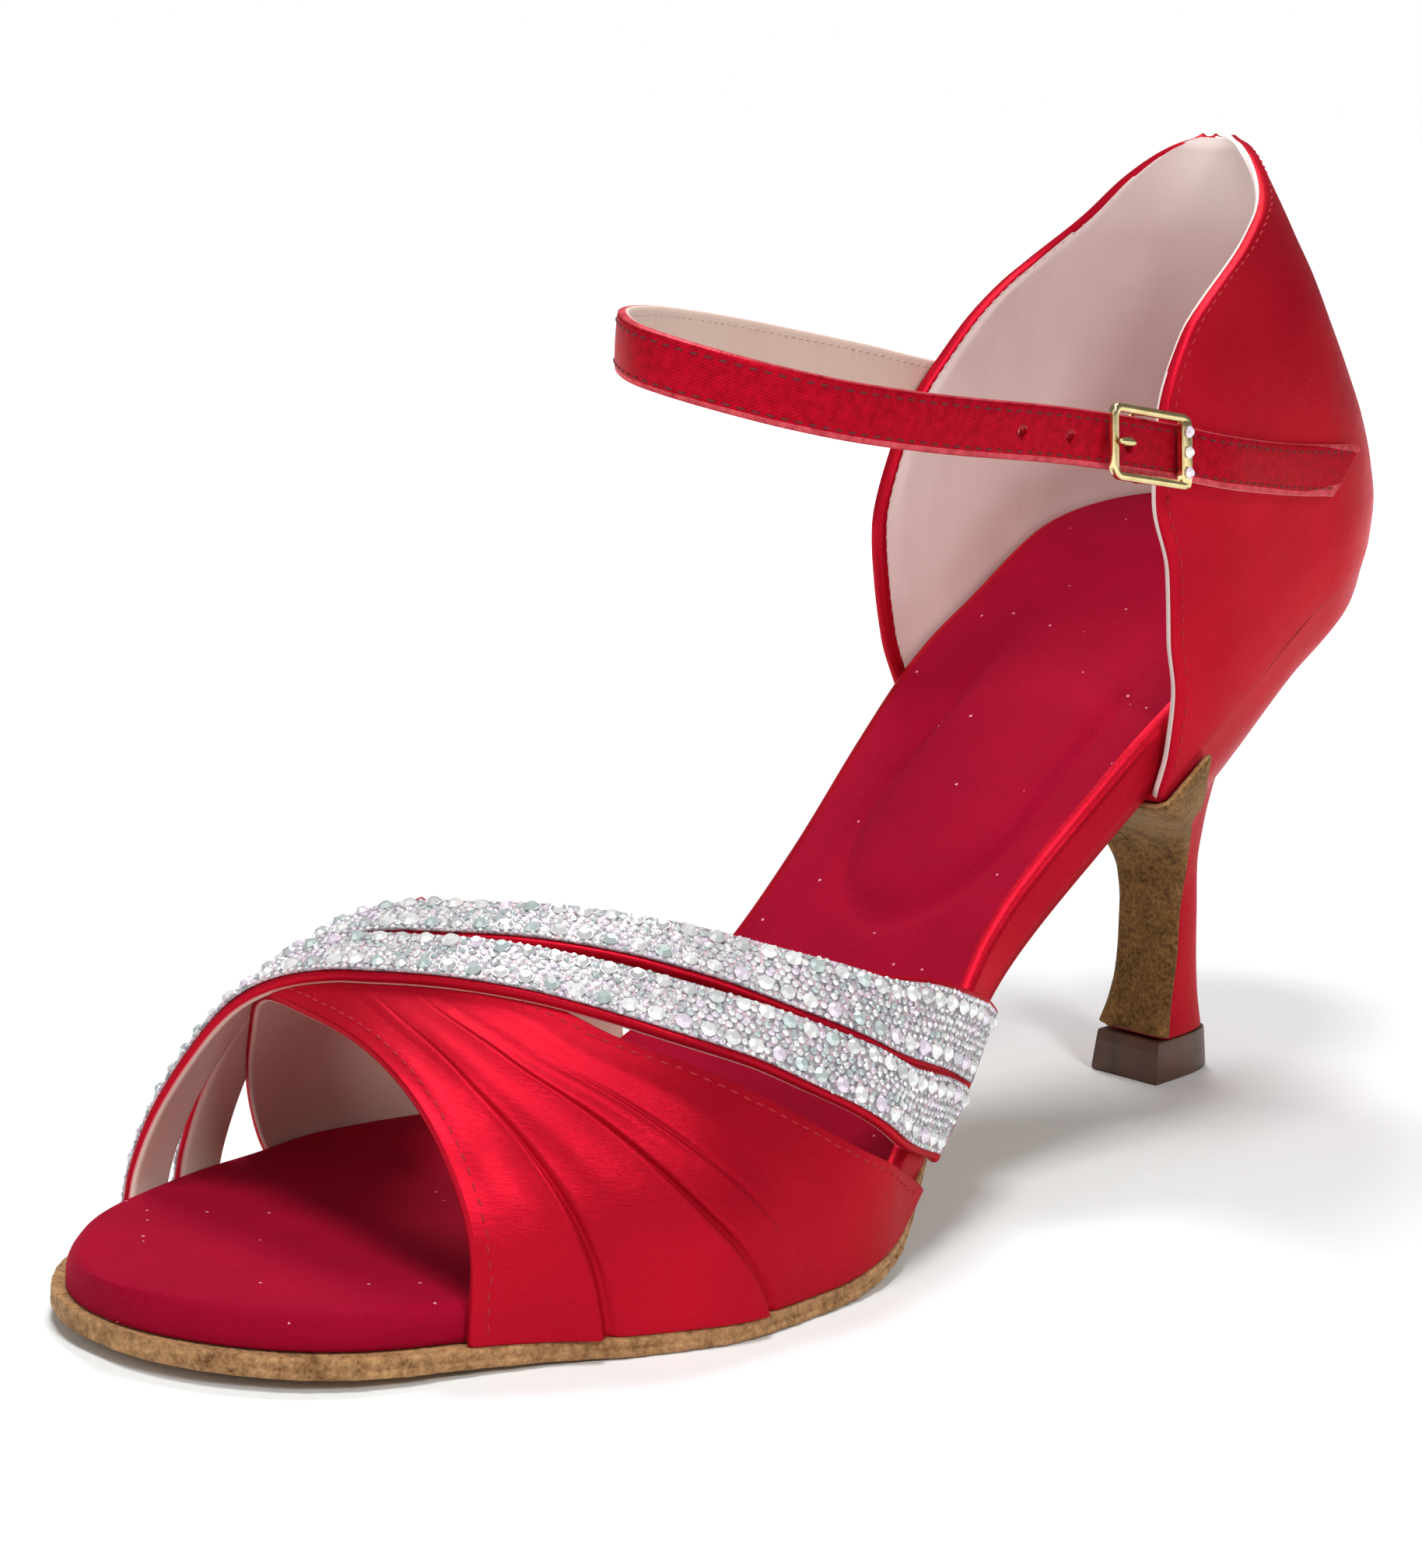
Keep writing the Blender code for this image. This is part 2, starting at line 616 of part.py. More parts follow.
def make_cover(surface):
    rows = []
    for drop in (0.012, 0.035, 0.06, 0.09, 0.13, 0.17, 0.22, 0.27, 0.33, 0.39, 0.46, 0.54, 0.62, 0.71, 0.80, 0.89, 0.985):
        line = heel_line(drop, 201)
        wrap = HEEL.at("wrap", drop)
        outer = [part_way(line, wrap * share) for share in (1.0, 0.66, 0.33)]
        inner = [part_way(line, 1 - wrap * share) for share in (0.33, 0.66, 1.0)]
        front = [line[0] + (line[-1] - line[0]) * share for share in (0.0, 0.25, 0.5, 0.75, 1.0)]
        rows.append(outer + front + inner)
    face = np.array(rows)
    normal = unit(np.cross(np.gradient(face, axis=0), np.gradient(face, axis=1)))
    normal *= np.sign(-normal[len(rows) // 2, 5, 1])
    inside = face + normal * CLEARANCE * 1.5
    return shell("heel_cover", inside, inside + normal * COVER_WALL, surface)


def make_top_piece(surface):
    rings = []
    for height, scale in ((0.0, 0.96), (0.0004, 1.0), (TOP_PIECE_HEIGHT - 0.0003, 0.93), (TOP_PIECE_HEIGHT, 0.90)):
        half_length = TOP_PIECE_LENGTH / 2 * scale
        line = d_line(-half_length, half_length, TOP_PIECE_WIDTH / 2 * scale, 23, 0.45)
        rings.append([(x, y, height) for x, y in line])
    return loft("top_piece", rings, surface)


# Front upper
def upper_grid(front, rear, around, lift, shares):
    """Points on the upper's arch between two edges, lifted off its inside."""
    rows = []
    for i, a in enumerate(around):
        share = np.asarray(shares[i] if np.ndim(shares[0]) else shares, float)
        station = front[i] + (rear[i] - front[i]) * share
        rise = lift[i] if np.ndim(lift) else lift
        rows.append(arch_point(station, a) + arch_normal(station, a) * np.reshape(rise, (-1, 1)))
    return np.array(rows)


def round_foot(low, high, count):
    """Places across the foot, closer together down the sides."""
    t = np.linspace(0, 1, count)
    return low + (high - low) * (0.45 * t + 0.55 * (0.5 - 0.5 * np.cos(np.pi * t)))


def strap_edges(column, around, width):
    centre = STRAPS.at(column, around)
    step = 0.01
    ahead, behind = np.clip(around + step, 0, 1), np.clip(around - step, 0, 1)
    over = np.linalg.norm(arch_point(centre, ahead) - arch_point(centre, behind), axis=-1)
    along = SHOE_LENGTH * (STRAPS.at(column, ahead) - STRAPS.at(column, behind))
    reach = width / 2 * STRAPS.at("width", around) * np.sqrt(1 + (along / over) ** 2) / SHOE_LENGTH
    return centre + reach, centre - reach


def strap_lift(around):
    return STRAPS.at("over", around) * (BAND_WALL - 0.0002)


def make_strap(name, column, surface):
    around = round_foot(0.0, 1.0, 31)
    front, rear = strap_edges(column, around, STRAP_WIDTH)
    shares = [0.0, 0.33, 0.67, 1.0]
    inside = upper_grid(front, rear, around, strap_lift(around), shares)
    outside = upper_grid(front, rear, around, strap_lift(around) + STRAP_WALL, shares)
    return shell(name, inside, outside, surface, swell=0.0003)


def make_trim(name, column, surface):
    around = round_foot(0.010, 0.990, 30)
    front, rear = strap_edges(column, around, TRIM_WIDTH)
    shares = [0.0, 0.33, 0.67, 1.0]
    lift = strap_lift(around) + STRAP_WALL + CLEARANCE * 1.3
    inside = upper_grid(front, rear, around, lift, shares)
    outside = upper_grid(front, rear, around, lift + TRIM_WALL, shares)
    return shell(name, inside, outside, surface)


def make_band(surface):
    around = round_foot(0.0, 1.0, 26)
    front, rear = BAND.at("front", around), BAND.at("rear", around)
    fold = 0.022
    shares, lifts = [], []
    for a in around:
        share, lift, start = [0.0, 0.04], [0.0, 0.0], 0.04
        for pleat, depth in (("pleat_a", 1.0), ("pleat_b", 1.0), ("pleat_c", 0.3)):
            place = float(BAND.at(pleat, a))
            share += [start + (place - start) * part for part in (0.35, 0.7, 1.0)] + [place + fold]
            lift += [depth * part**2 for part in (0.35, 0.7, 1.0)] + [0.0]
            start = place + fold
        share += [start + (0.96 - start) * part for part in (0.25, 0.5, 0.75, 1.0)] + [1.0]
        lift += [0.0, 0.0, 0.0, 0.0, 0.0]
        shares.append(share)
        lifts.append(BAND_WALL + PLEAT_DEPTH * float(BAND.at("fold", a)) * np.array(lift))
    inside = upper_grid(front, rear, around, np.zeros(len(around)), shares)
    outside = upper_grid(front, rear, around, lifts, shares)
    return shell("upper", inside, outside, surface, swell=0.0003)


def make_upper(surface):
    band = make_band(surface)
    straps = [make_strap("strap_" + column, column, surface) for column in ("first", "second")]
    return joined(band, straps)


# Ankle strap
def cup_point(side, station, height, lift):
    """A point on the heel cup's side at a height above the floor, moved outwards by lift."""
    def place(where):
        base = base_height(where)
        level = (height - base) / (COUNTER_TOP - base)
        middle = float(np.mean(plan_edges(where)))
        x = middle + (plan_edges(where)[side] - middle) * CUP.at("girth", level)
        fade = 1 - np.clip(where / 0.34, 0, 1)
        return np.array([float(x), float(y_of(where) - HEEL_SETBACK * CUP.at("lean", level) * fade)])

    here, heading = place(station), place(station - 0.004) - place(station + 0.004)
    heading = heading / np.linalg.norm(heading)
    outward = np.array([heading[1], -heading[0]]) * (1 if side == 0 else -1)
    return np.array([*(here + outward * lift), height])


def laid_edges(side, low_station, high_station, lift, width):
    rise = LAID_OUTER if side == 0 else LAID_INNER
    low_height = COUNTER_TOP * float(rise.at("rise", low_station)) - width / 2
    high_height = COUNTER_TOP * float(rise.at("rise", high_station)) + width / 2
    low = cup_point(side, low_station, low_height, lift)
    return np.r_[low, cup_point(side, high_station, high_height, lift)]


def free_edges(step, width):
    x, y = SEAT_WIDTH * ANKLE.at("aside", step), y_of(ANKLE.at("station", step))
    z, lean = COUNTER_TOP * ANKLE.at("rise", step), ANKLE.at("lean", step) * width
    return np.array([x - lean / 2, y, z - width / 2, x + lean / 2, y, z + width / 2])


def ankle_path(count):
    """Lower and upper edge of the ankle strap's inside, from its sewn end to its free tip."""
    on_cup = CLEARANCE + COUNTER_WALL + CLEARANCE * 1.4
    over_tab = on_cup + TAB_WALL + CLEARANCE * 2
    width = ANKLE_STRAP_WIDTH
    rows = [laid_edges(1, station, station, on_cup, width) for station in (0.205, 0.235, 0.262)]
    rows += [free_edges(step, width) for step in range(13)]
    rows += [laid_edges(0, 0.305, 0.305, over_tab, width), laid_edges(0, 0.265, 0.265, over_tab, width)]
    rows += [laid_edges(0, 0.225, 0.223, on_cup + 0.4 * (over_tab - on_cup), width)]
    rows += [laid_edges(0, 0.185, 0.175, on_cup, width), laid_edges(0, 0.150, 0.108, on_cup, width)]
    path = smooth_path(rows, count)
    return path[:, :3], path[:, 3:]


def outward_of(low, high):
    centre = (low + high) / 2
    normal = unit(np.cross(np.gradient(centre, axis=0), high - low))
    from_middle = centre - np.array([0.0, y_of(0.30), 0.0])
    from_middle[:, 2] = 0
    turn = np.sign((normal * from_middle).sum(axis=1))
    return normal * turn[:, None]


def ankle_frame(station):
    """Centre of the strap's inside on the outer side at a station, with its run, width and outward directions."""
    low, high = ankle_path(900)
    outward = outward_of(low, high)
    centre = (low + high) / 2
    ahead = np.where(np.arange(900) > 500, np.abs(centre[:, 1] - y_of(station)), 1.0)
    i = int(np.argmin(ahead))
    run = unit(centre[i + 3] - centre[i - 3])
    up = unit(high[i] - low[i])
    return centre[i], run, up, outward[i]


def in_frame(frame, along, up, out):
    centre, run, rise, outward = frame
    return centre + run * along + rise * up + outward * out


def rod(name, points, radius, surface, sides=8, collection=None):
    points = np.asarray(points, float)
    heading = unit(np.gradient(points, axis=0))
    across = unit(np.cross(heading[0], [0.31, 0.17, 0.93]))
    rings = []
    for place, ahead in zip(points, heading):
        across = unit(across - ahead * np.dot(across, ahead))
        other = np.cross(ahead, across)
        angles = [2 * math.pi * (k + 0.5) / sides for k in range(sides)]
        rings.append([place + radius * (math.cos(a) * across + math.sin(a) * other) for a in angles])
    return loft(name, rings, surface, collection=collection)


def make_ankle_strap(surface):
    low, high = ankle_path(54)
    outward = outward_of(low, high)
    inside = np.stack([low, low * 0.5 + high * 0.5, high], axis=1)
    outside = inside + outward[:, None, :] * ANKLE_STRAP_WALL
    strap = shell("ankle_strap", inside, outside, surface, swell=0.0002)
    cutters = []
    holes = [(station, HOLE_RADIUS, 0.0) for station in HOLE_STATIONS] + [(BUCKLE_STATION, 0.0011, -0.0033)]
    for number, (station, radius, along) in enumerate(holes):
        frame = ankle_frame(station)
        ends = [in_frame(frame, along, 0.0, out) for out in (-0.002, ANKLE_STRAP_WALL + 0.002)]
        cutters.append(rod("hole_%d" % number, ends, radius, None, 12, CUTTERS))
    return pierced(strap, cutters)


# Buckle, its tab, prong and crystals
def make_buckle(surface):
    frame = ankle_frame(BUCKLE_STATION)
    out = ANKLE_STRAP_WALL + CLEARANCE * 1.6 + BUCKLE_BAR / 2
    half_run, half_up, bar = (BUCKLE_LENGTH - BUCKLE_BAR) / 2, (BUCKLE_WIDTH - BUCKLE_BAR) / 2, BUCKLE_BAR / 2
    turn = 0.0012
    rings = []
    for corner in range(4):
        side_run, side_up = ((1, 1), (-1, 1), (-1, -1), (1, -1))[corner]
        for part in (0, 1, 2):
            angle = math.pi / 2 * corner + math.pi / 4 * part
            ahead, up = math.cos(angle), math.sin(angle)
            run_at, up_at = side_run * (half_run - turn), side_up * (half_up - turn)
            ring = []
            for wide, deep in ((-1, -1), (1, -1), (1, 0.6), (0.6, 1), (-0.6, 1), (-1, 0.6)):
                reach = turn + wide * bar
                ring.append(in_frame(frame, run_at + ahead * reach, up_at + up * reach, out + deep * bar))
            rings.append(ring)
    size, rows = 6, len(rings)
    faces = []
    for i in range(rows):
        for j in range(size):
            k, n = (j + 1) % size, (i + 1) % rows
            faces.append((i * size + j, i * size + k, n * size + k, n * size + j))
    buckle = node_from("buckle", np.array(rings).reshape(-1, 3), faces, surface)
    low, leg = -(CLEARANCE + 0.0005), half_up
    bend = 0.0005
    bridge = [(leg, out), (leg, low + bend), (leg - bend, low), (bend - leg, low), (-leg, low + bend), (-leg, out)]
    bar_rod = rod("buckle_bridge", [in_frame(frame, 0.0, up, height) for up, height in bridge], 0.0005, surface)
    plate_at = half_run - 0.0004
    corners = [(-0.0009, -half_up), (0.0009, -half_up), (0.0009, half_up), (-0.0009, half_up)]
    plate = loft(
        "buckle_plate",
        [[in_frame(frame, plate_at + a, b, out + deep) for a, b in corners] for deep in (-bar * 0.9, bar * 0.9)],
        surface,
    )
    return joined(buckle, [bar_rod, plate])


def make_crystals(surface):
    frame = ankle_frame(BUCKLE_STATION)
    seat = ANKLE_STRAP_WALL + CLEARANCE * 2.6 + BUCKLE_BAR
    along = (BUCKLE_LENGTH - BUCKLE_BAR) / 2 - 0.0004
    for number, up in enumerate((-0.27, 0.0, 0.27)):
        rings = []
        for scale, height in ((0.8, 0.0), (1.0, 0.0002), (0.95, 0.0004), (0.5, 0.0007)):
            angles = [math.pi / 4 * (k + 0.5) for k in range(8)]
            radius = CRYSTAL_RADIUS * scale
            rings.append(
                [
                    in_frame(
                        frame, along + radius * math.cos(a), up * BUCKLE_WIDTH + radius * math.sin(a), seat + height
                    )
                    for a in angles
                ]
            )
        loft("buckle_crystal_%d" % (number + 1), rings, surface)


def make_prong(surface):
    frame = ankle_frame(BUCKLE_STATION)
    top = ANKLE_STRAP_WALL + CLEARANCE * 1.6 + BUCKLE_BAR + CLEARANCE + 0.0005
    tip = -BUCKLE_LENGTH / 2
    line = [(-0.0028, -0.0012), (-0.0031, 0.0004), (-0.0034, 0.0018), (-0.0044, 0.0030), (-0.0060, top), (tip, top)]
    return rod("prong", [in_frame(frame, along, 0.0, out) for along, out in line], 0.00045, surface)


def make_tab(surface):
    frame = ankle_frame(BUCKLE_STATION)
    on_cup = CLEARANCE + COUNTER_WALL + CLEARANCE * 1.4
    width = 0.0064
    mid = TAB_WALL / 2
    rows = [laid_edges(0, station, station, on_cup + mid, width) for station in (0.255, 0.285, 0.308)]
    centre = -(CLEARANCE + 0.0005)
    swing = 0.0005 + CLEARANCE * 1.4 + mid
    for angle in (-70, -95, -125, -155, -180):
        along = swing * math.cos(math.radians(angle))
        out = centre + swing * math.sin(math.radians(angle))
        rows.append(np.r_[in_frame(frame, along, -width / 2, out), in_frame(frame, along, width / 2, out)])
    path = smooth_path(rows, 30)
    low, high = path[:, :3], path[:, 3:]
    heading = np.gradient((low + high) / 2, axis=0)
    normal = unit(np.cross(heading, high - low))
    grid = np.stack([low, high], axis=1)
    return shell("buckle_tab", grid - normal[:, None, :] * mid, grid + normal[:, None, :] * mid, surface)


clear_scene()
satin = material("satin", (0.78, 0.10, 0.18), 0.35)
sock = material("sock", (0.65, 0.07, 0.20), 0.85)
suede = material("suede", (0.59, 0.41, 0.24), 0.95)
cover_suede = material("cover_suede", (0.41, 0.30, 0.18), 0.95)
tip_rubber = material("tip", (0.47, 0.31, 0.22), 0.55)
stones = material("stones", (0.80, 0.80, 0.84), 0.20)
gold = material("gold", (0.80, 0.70, 0.48), 0.25, 1.0)
crystal = material("crystal", (0.92, 0.92, 0.95), 0.10)

make_outsole(suede)
make_insole(sock)
make_heel(satin)
make_cover(cover_suede)
make_top_piece(tip_rubber)
make_counter(satin)
make_upper(satin)
make_trim("trim_front", "first", stones)
make_trim("trim_rear", "second", stones)
make_ankle_strap(satin)
make_buckle(gold)
make_prong(gold)
make_tab(satin)
make_crystals(crystal)
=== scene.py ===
# Ballroom dance sandal for the left foot: the looks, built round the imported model, in metres.
# The toe points to -Y, the outer side of the foot is +X and the heel's tip stands on the origin.
# A station is a share of the last's length, from the back of the insole (0) to its toe (1).
import json
import math

import bmesh
import bpy
import numpy as np
from mathutils import Matrix

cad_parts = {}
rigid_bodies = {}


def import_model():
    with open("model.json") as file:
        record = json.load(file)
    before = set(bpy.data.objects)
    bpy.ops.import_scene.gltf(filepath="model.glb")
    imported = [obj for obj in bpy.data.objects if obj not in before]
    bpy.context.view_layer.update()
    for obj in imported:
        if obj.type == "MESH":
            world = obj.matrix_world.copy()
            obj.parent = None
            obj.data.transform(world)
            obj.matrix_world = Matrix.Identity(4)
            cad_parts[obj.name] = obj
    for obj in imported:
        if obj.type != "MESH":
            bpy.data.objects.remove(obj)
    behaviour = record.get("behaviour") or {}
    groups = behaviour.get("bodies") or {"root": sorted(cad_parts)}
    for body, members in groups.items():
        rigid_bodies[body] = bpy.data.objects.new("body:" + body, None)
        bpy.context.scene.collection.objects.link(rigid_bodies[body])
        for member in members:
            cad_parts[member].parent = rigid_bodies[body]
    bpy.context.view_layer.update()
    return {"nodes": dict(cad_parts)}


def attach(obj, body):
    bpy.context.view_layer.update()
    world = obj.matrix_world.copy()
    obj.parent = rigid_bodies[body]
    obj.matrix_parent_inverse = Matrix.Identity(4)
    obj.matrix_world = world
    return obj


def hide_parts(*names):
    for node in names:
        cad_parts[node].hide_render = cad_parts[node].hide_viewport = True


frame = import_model()
for old in list(bpy.data.objects):
    if old.name in ("Cube", "Light", "Camera"):
        bpy.data.objects.remove(old, do_unlink=True)
scene = bpy.context.scene
print("frame loaded:", len(frame["nodes"]), "nodes")

# Camera, floor and lights
shot = {"place": (0.3138, -0.4327, 0.1533), "yaw": -0.7596, "pitch": 0.2049, "roll": 0.0270, "lens": 81.06}
lamps = {
    "top": {"place": (0.12, -0.30, 1.02), "target": (0.0, -0.05, 0.0), "size": 0.30, "power": 5.4},
    "rear": {"place": (-0.36, 0.22, 0.95), "target": (0.0, -0.05, 0.0), "size": 0.35, "power": 5.6},
    "key": {"place": (0.85, -0.35, 0.75), "target": (0.0, -0.05, 0.05), "size": 0.25, "power": 4.4},
    "front": {"place": (0.05, -0.95, 0.55), "target": (0.0, -0.05, 0.05), "size": 0.8, "power": 1.6},
}
studio = {"sky": 0.20, "floorSize": 12.0, "glowFrom": 0.28, "glowOver": 0.25}


def unit(vectors):
    vectors = np.asarray(vectors, float)
    return vectors / np.maximum(np.linalg.norm(vectors, axis=-1, keepdims=True), 1e-12)


def makeCamera():
    yaw, pitch, roll = shot["yaw"], shot["pitch"], shot["roll"]
    ahead = np.array([math.cos(pitch) * math.sin(yaw), math.cos(pitch) * math.cos(yaw), -math.sin(pitch)])
    level = np.array([math.cos(yaw), -math.sin(yaw), 0.0])
    upright = np.cross(level, ahead)
    right = math.cos(roll) * level + math.sin(roll) * upright
    up = -math.sin(roll) * level + math.cos(roll) * upright
    data = bpy.data.cameras.new("camera")
    data.lens, data.sensor_width = shot["lens"], 36.0
    data.clip_start, data.clip_end = 0.01, 50.0
    eye = bpy.data.objects.new("camera", data)
    eye.matrix_world = Matrix(
        [[right[i], up[i], -ahead[i], shot["place"][i]] for i in range(3)] + [[0.0, 0.0, 0.0, 1.0]]
    )
    scene.collection.objects.link(eye)
    scene.camera = eye


def areaLight(name, place, target, size, power):
    data = bpy.data.lights.new(name, "AREA")
    data.shape, data.size, data.energy = "DISK", size, power
    lamp = bpy.data.objects.new(name, data)
    back = unit(np.array(place) - np.array(target))
    side = unit(np.cross([0.0, 0.0, 1.0], back))
    up = np.cross(back, side)
    lamp.matrix_world = Matrix([[side[i], up[i], back[i], place[i]] for i in range(3)] + [[0.0, 0.0, 0.0, 1.0]])
    scene.collection.objects.link(lamp)


makeCamera()
for lampName, lampLook in lamps.items():
    areaLight(lampName, **lampLook)
world = bpy.data.worlds.new("studio")
world.use_nodes = True
# the room is dim but what shows behind the shoe is plain white
sky = world.node_tree
seen = sky.nodes.new("ShaderNodeBackground")
rays = sky.nodes.new("ShaderNodeLightPath")
either = sky.nodes.new("ShaderNodeMixShader")
sky.nodes["Background"].inputs["Color"].default_value = (1.0, 1.0, 1.0, 1.0)
sky.nodes["Background"].inputs["Strength"].default_value = studio["sky"]
seen.inputs["Color"].default_value = (1.0, 1.0, 1.0, 1.0)
sky.links.new(rays.outputs["Is Camera Ray"], either.inputs[0])
sky.links.new(sky.nodes["Background"].outputs[0], either.inputs[1])
sky.links.new(seen.outputs[0], either.inputs[2])
sky.links.new(either.outputs[0], sky.nodes["World Output"].inputs[0])
scene.world = world
scene.view_settings.view_transform = "Standard"
print("camera and lights set")


# Materials
class Signal:
    # a number socket that takes part in plain arithmetic
    def __init__(self, finish, socket):
        self.finish, self.socket = finish, socket

    def make(self, operation, *values, clamp=False):
        settings = {"operation": operation, "use_clamp": clamp}
        node = self.finish.node("ShaderNodeMath", settings, dict(enumerate(values)))
        return Signal(self.finish, node.outputs[0])

    def __add__(self, other):
        return self.make("ADD", self, other)

    def __sub__(self, other):
        return self.make("SUBTRACT", self, other)

    def __mul__(self, other):
        return self.make("MULTIPLY", self, other)

    def over(self, edge):
        return self.make("GREATER_THAN", self, edge)

    def under(self, edge):
        return self.make("LESS_THAN", self, edge)

    def held(self):
        return self.make("ADD", self, 0.0, clamp=True)


def tone(red, green, blue):
    # a colour as seen on a screen, from 0 to 255, made linear
    def linear(value):
        value = value / 255
        return value / 12.92 if value <= 0.04045 else ((value + 0.055) / 1.055) ** 2.4

    return (linear(red), linear(green), linear(blue), 1.0)


class Finish:
    white = (1.0, 1.0, 1.0, 1.0)

    def __init__(self, name, metallic=0.0, sheen=0.0, sheenTone=white, coat=0.0, specular=0.5, tint=white):
        self.material = bpy.data.materials.new(name)
        self.material.use_nodes = True
        self.tree = self.material.node_tree
        self.shader = self.tree.nodes["Principled BSDF"]
        for key, value in (
            ("Metallic", metallic),
            ("Sheen Weight", sheen),
            ("Sheen Roughness", 0.35),
            ("Sheen Tint", sheenTone),
            ("Coat Weight", coat),
            ("Specular IOR Level", specular),
            ("Specular Tint", tint),
        ):
            self.shader.inputs[key].default_value = value

    def node(self, kind, settings=None, sockets=None):
        made = self.tree.nodes.new(kind)
        for key, value in (settings or {}).items():
            setattr(made, key, value)
        for key, value in (sockets or {}).items():
            self.feed(made.inputs[key], value)
        return made

    def feed(self, socket, value):
        if isinstance(value, Signal):
            value = value.socket
        if isinstance(value, bpy.types.NodeSocket):
            self.tree.links.new(value, socket)
        else:
            socket.default_value = value

    def place(self, own="Object", stretch=(1.0, 1.0, 1.0), turn=0.0):
        coordinates = self.node("ShaderNodeTexCoord")
        mapping = self.node(
            "ShaderNodeMapping",
            {"vector_type": "POINT"},
            {"Vector": coordinates.outputs[own], "Scale": stretch, "Rotation": (0.0, 0.0, turn)},
        )
        return mapping.outputs[0]

    def noise(self, where, scale, detail=3.0, rough=0.55):
        sockets = {"Vector": where, "Scale": scale, "Detail": detail, "Roughness": rough}
        return Signal(self, self.node("ShaderNodeTexNoise", {}, sockets).outputs[0])

    def wave(self, where, period, distortion):
        # the texture's bands repeat every 0.314 units at a scale of one
        made = self.node(
            "ShaderNodeTexWave",
            {"wave_type": "BANDS", "bands_direction": "X"},
            {"Vector": where, "Scale": 0.314 / period, "Distortion": distortion, "Detail": 1.0},
        )
        return Signal(self, made.outputs["Fac"])

    def cells(self, where, scale):
        return self.node("ShaderNodeTexVoronoi", {"feature": "F1"}, {"Vector": where, "Scale": scale})

    def blend(self, share, low, high):
        made = self.node("ShaderNodeMix", {"data_type": "RGBA"}, {0: share, 6: low, 7: high})
        return made.outputs[2]

    def bump(self, height, depth, strength=1.0, under=None):
        sockets = {"Height": height, "Distance": depth, "Strength": strength}
        if under is not None:
            sockets["Normal"] = under
        return self.node("ShaderNodeBump", {}, sockets).outputs[0]

    def finish(self, colour, roughness, normal=None):
        self.feed(self.shader.inputs["Base Color"], colour)
        self.feed(self.shader.inputs["Roughness"], roughness)
        if normal is not None:
            self.feed(self.shader.inputs["Normal"], normal)
        return self.material


satinLook = {"base": (197, 20, 43), "deep": (152, 10, 30), "lit": (222, 46, 64), "rough": 0.33}


def satinFinish(name, own="UV", turn=0.78):
    made = Finish(name, metallic=0.45, specular=0.08, tint=(1.0, 0.20, 0.28, 1.0))
    body = made.place("Object")
    threads = made.noise(made.place(own, (1.0, 9.0, 1.0), turn), 900.0, 2.0)
    slubs = made.noise(made.place(own, (1.0, 6.0, 1.0), turn), 260.0, 2.0)
    cloud = made.noise(body, 34.0, 2.0)
    colour = made.blend((cloud * 1.6 - 0.35).held(), tone(*satinLook["deep"]), tone(*satinLook["base"]))
    colour = made.blend((threads * 1.6 - 0.55).held() * 0.22, colour, tone(*satinLook["lit"]))
    rough = (slubs * 0.14 + (satinLook["rough"] - 0.07)) + cloud * 0.05
    soft = made.bump(made.noise(body, 150.0, 2.0), 0.0006, 0.2)
    return made.finish(colour, rough, made.bump(threads + slubs * 0.8, 0.00008, 0.4, soft))


twillLook = {"rib": 0.00042, "slant": 0.7, "half": 0.0036, "paleStrip": 0.00032}


def twillFinish(name):
    # diagonal threads and a paler strip along each edge, measured from the strap's middle line
    made = Finish(name, metallic=0.35, specular=0.08, tint=(1.0, 0.20, 0.28, 1.0))
    where = made.place("UV")
    aside = Signal(made, made.node("ShaderNodeSeparateXYZ", {}, {0: where}).outputs[0])
    across = aside.make("ABSOLUTE", aside)
    ribs = made.wave(made.place("UV", (1.0, 1.0, 1.0), twillLook["slant"]), twillLook["rib"], 2.5)
    patchy = made.noise(where, 700.0, 3.0, 0.7)
    colour = made.blend((ribs * 0.35 + patchy * 1.3 - 0.42).held(), tone(128, 6, 22), tone(202, 16, 42))
    edge = across.over(twillLook["half"] - twillLook["paleStrip"]) * (patchy * 1.6 - 0.2).held()
    colour = made.blend(edge * 0.55, colour, tone(236, 120, 128))
    rough = patchy * 0.2 + 0.30
    return made.finish(colour, rough, made.bump(ribs * 0.4 + patchy, 0.00008, 0.45))


def sockFinish():
    made = Finish("sock", sheen=0.14, sheenTone=tone(220, 50, 84), specular=0.1, tint=(1.0, 0.4, 0.5, 1.0))
    where = made.place("Object")
    grain = made.noise(where, 1500.0, 3.0, 0.7)
    cloud = made.noise(where, 45.0, 3.0)
    specks = made.cells(where, 620.0)
    chance = made.node("ShaderNodeSeparateColor", {}, {0: specks.outputs["Color"]})
    dust = Signal(made, specks.outputs["Distance"]).under(0.14) * Signal(made, chance.outputs[0]).over(0.94)
    colour = made.blend((cloud * 1.5 - 0.25).held(), tone(124, 4, 30), tone(158, 8, 42))
    colour = made.blend((grain * 1.2 - 0.3).held() * 0.3, colour, tone(188, 24, 62))
    colour = made.blend(dust * 0.7, colour, tone(240, 170, 185))
    return made.finish(colour, 0.88, made.bump(grain, 0.00012, 0.5))


def suedeFinish(name, dark, light, scale):
    made = Finish(name, sheen=0.35, sheenTone=(*[v / 255 for v in light], 1.0), specular=0.15)
    where = made.place("Object")
    nap = made.noise(where, scale, 4.0, 0.75)
    patch = made.noise(where, scale * 0.18, 3.0, 0.6)
    share = (nap * 1.9 + patch * 0.9 - 0.95).held()
    colour = made.blend(share, tone(*dark), tone(*light))
    return made.finish(colour, 0.95, made.bump(nap + patch * 0.6, 0.00025, 0.8))


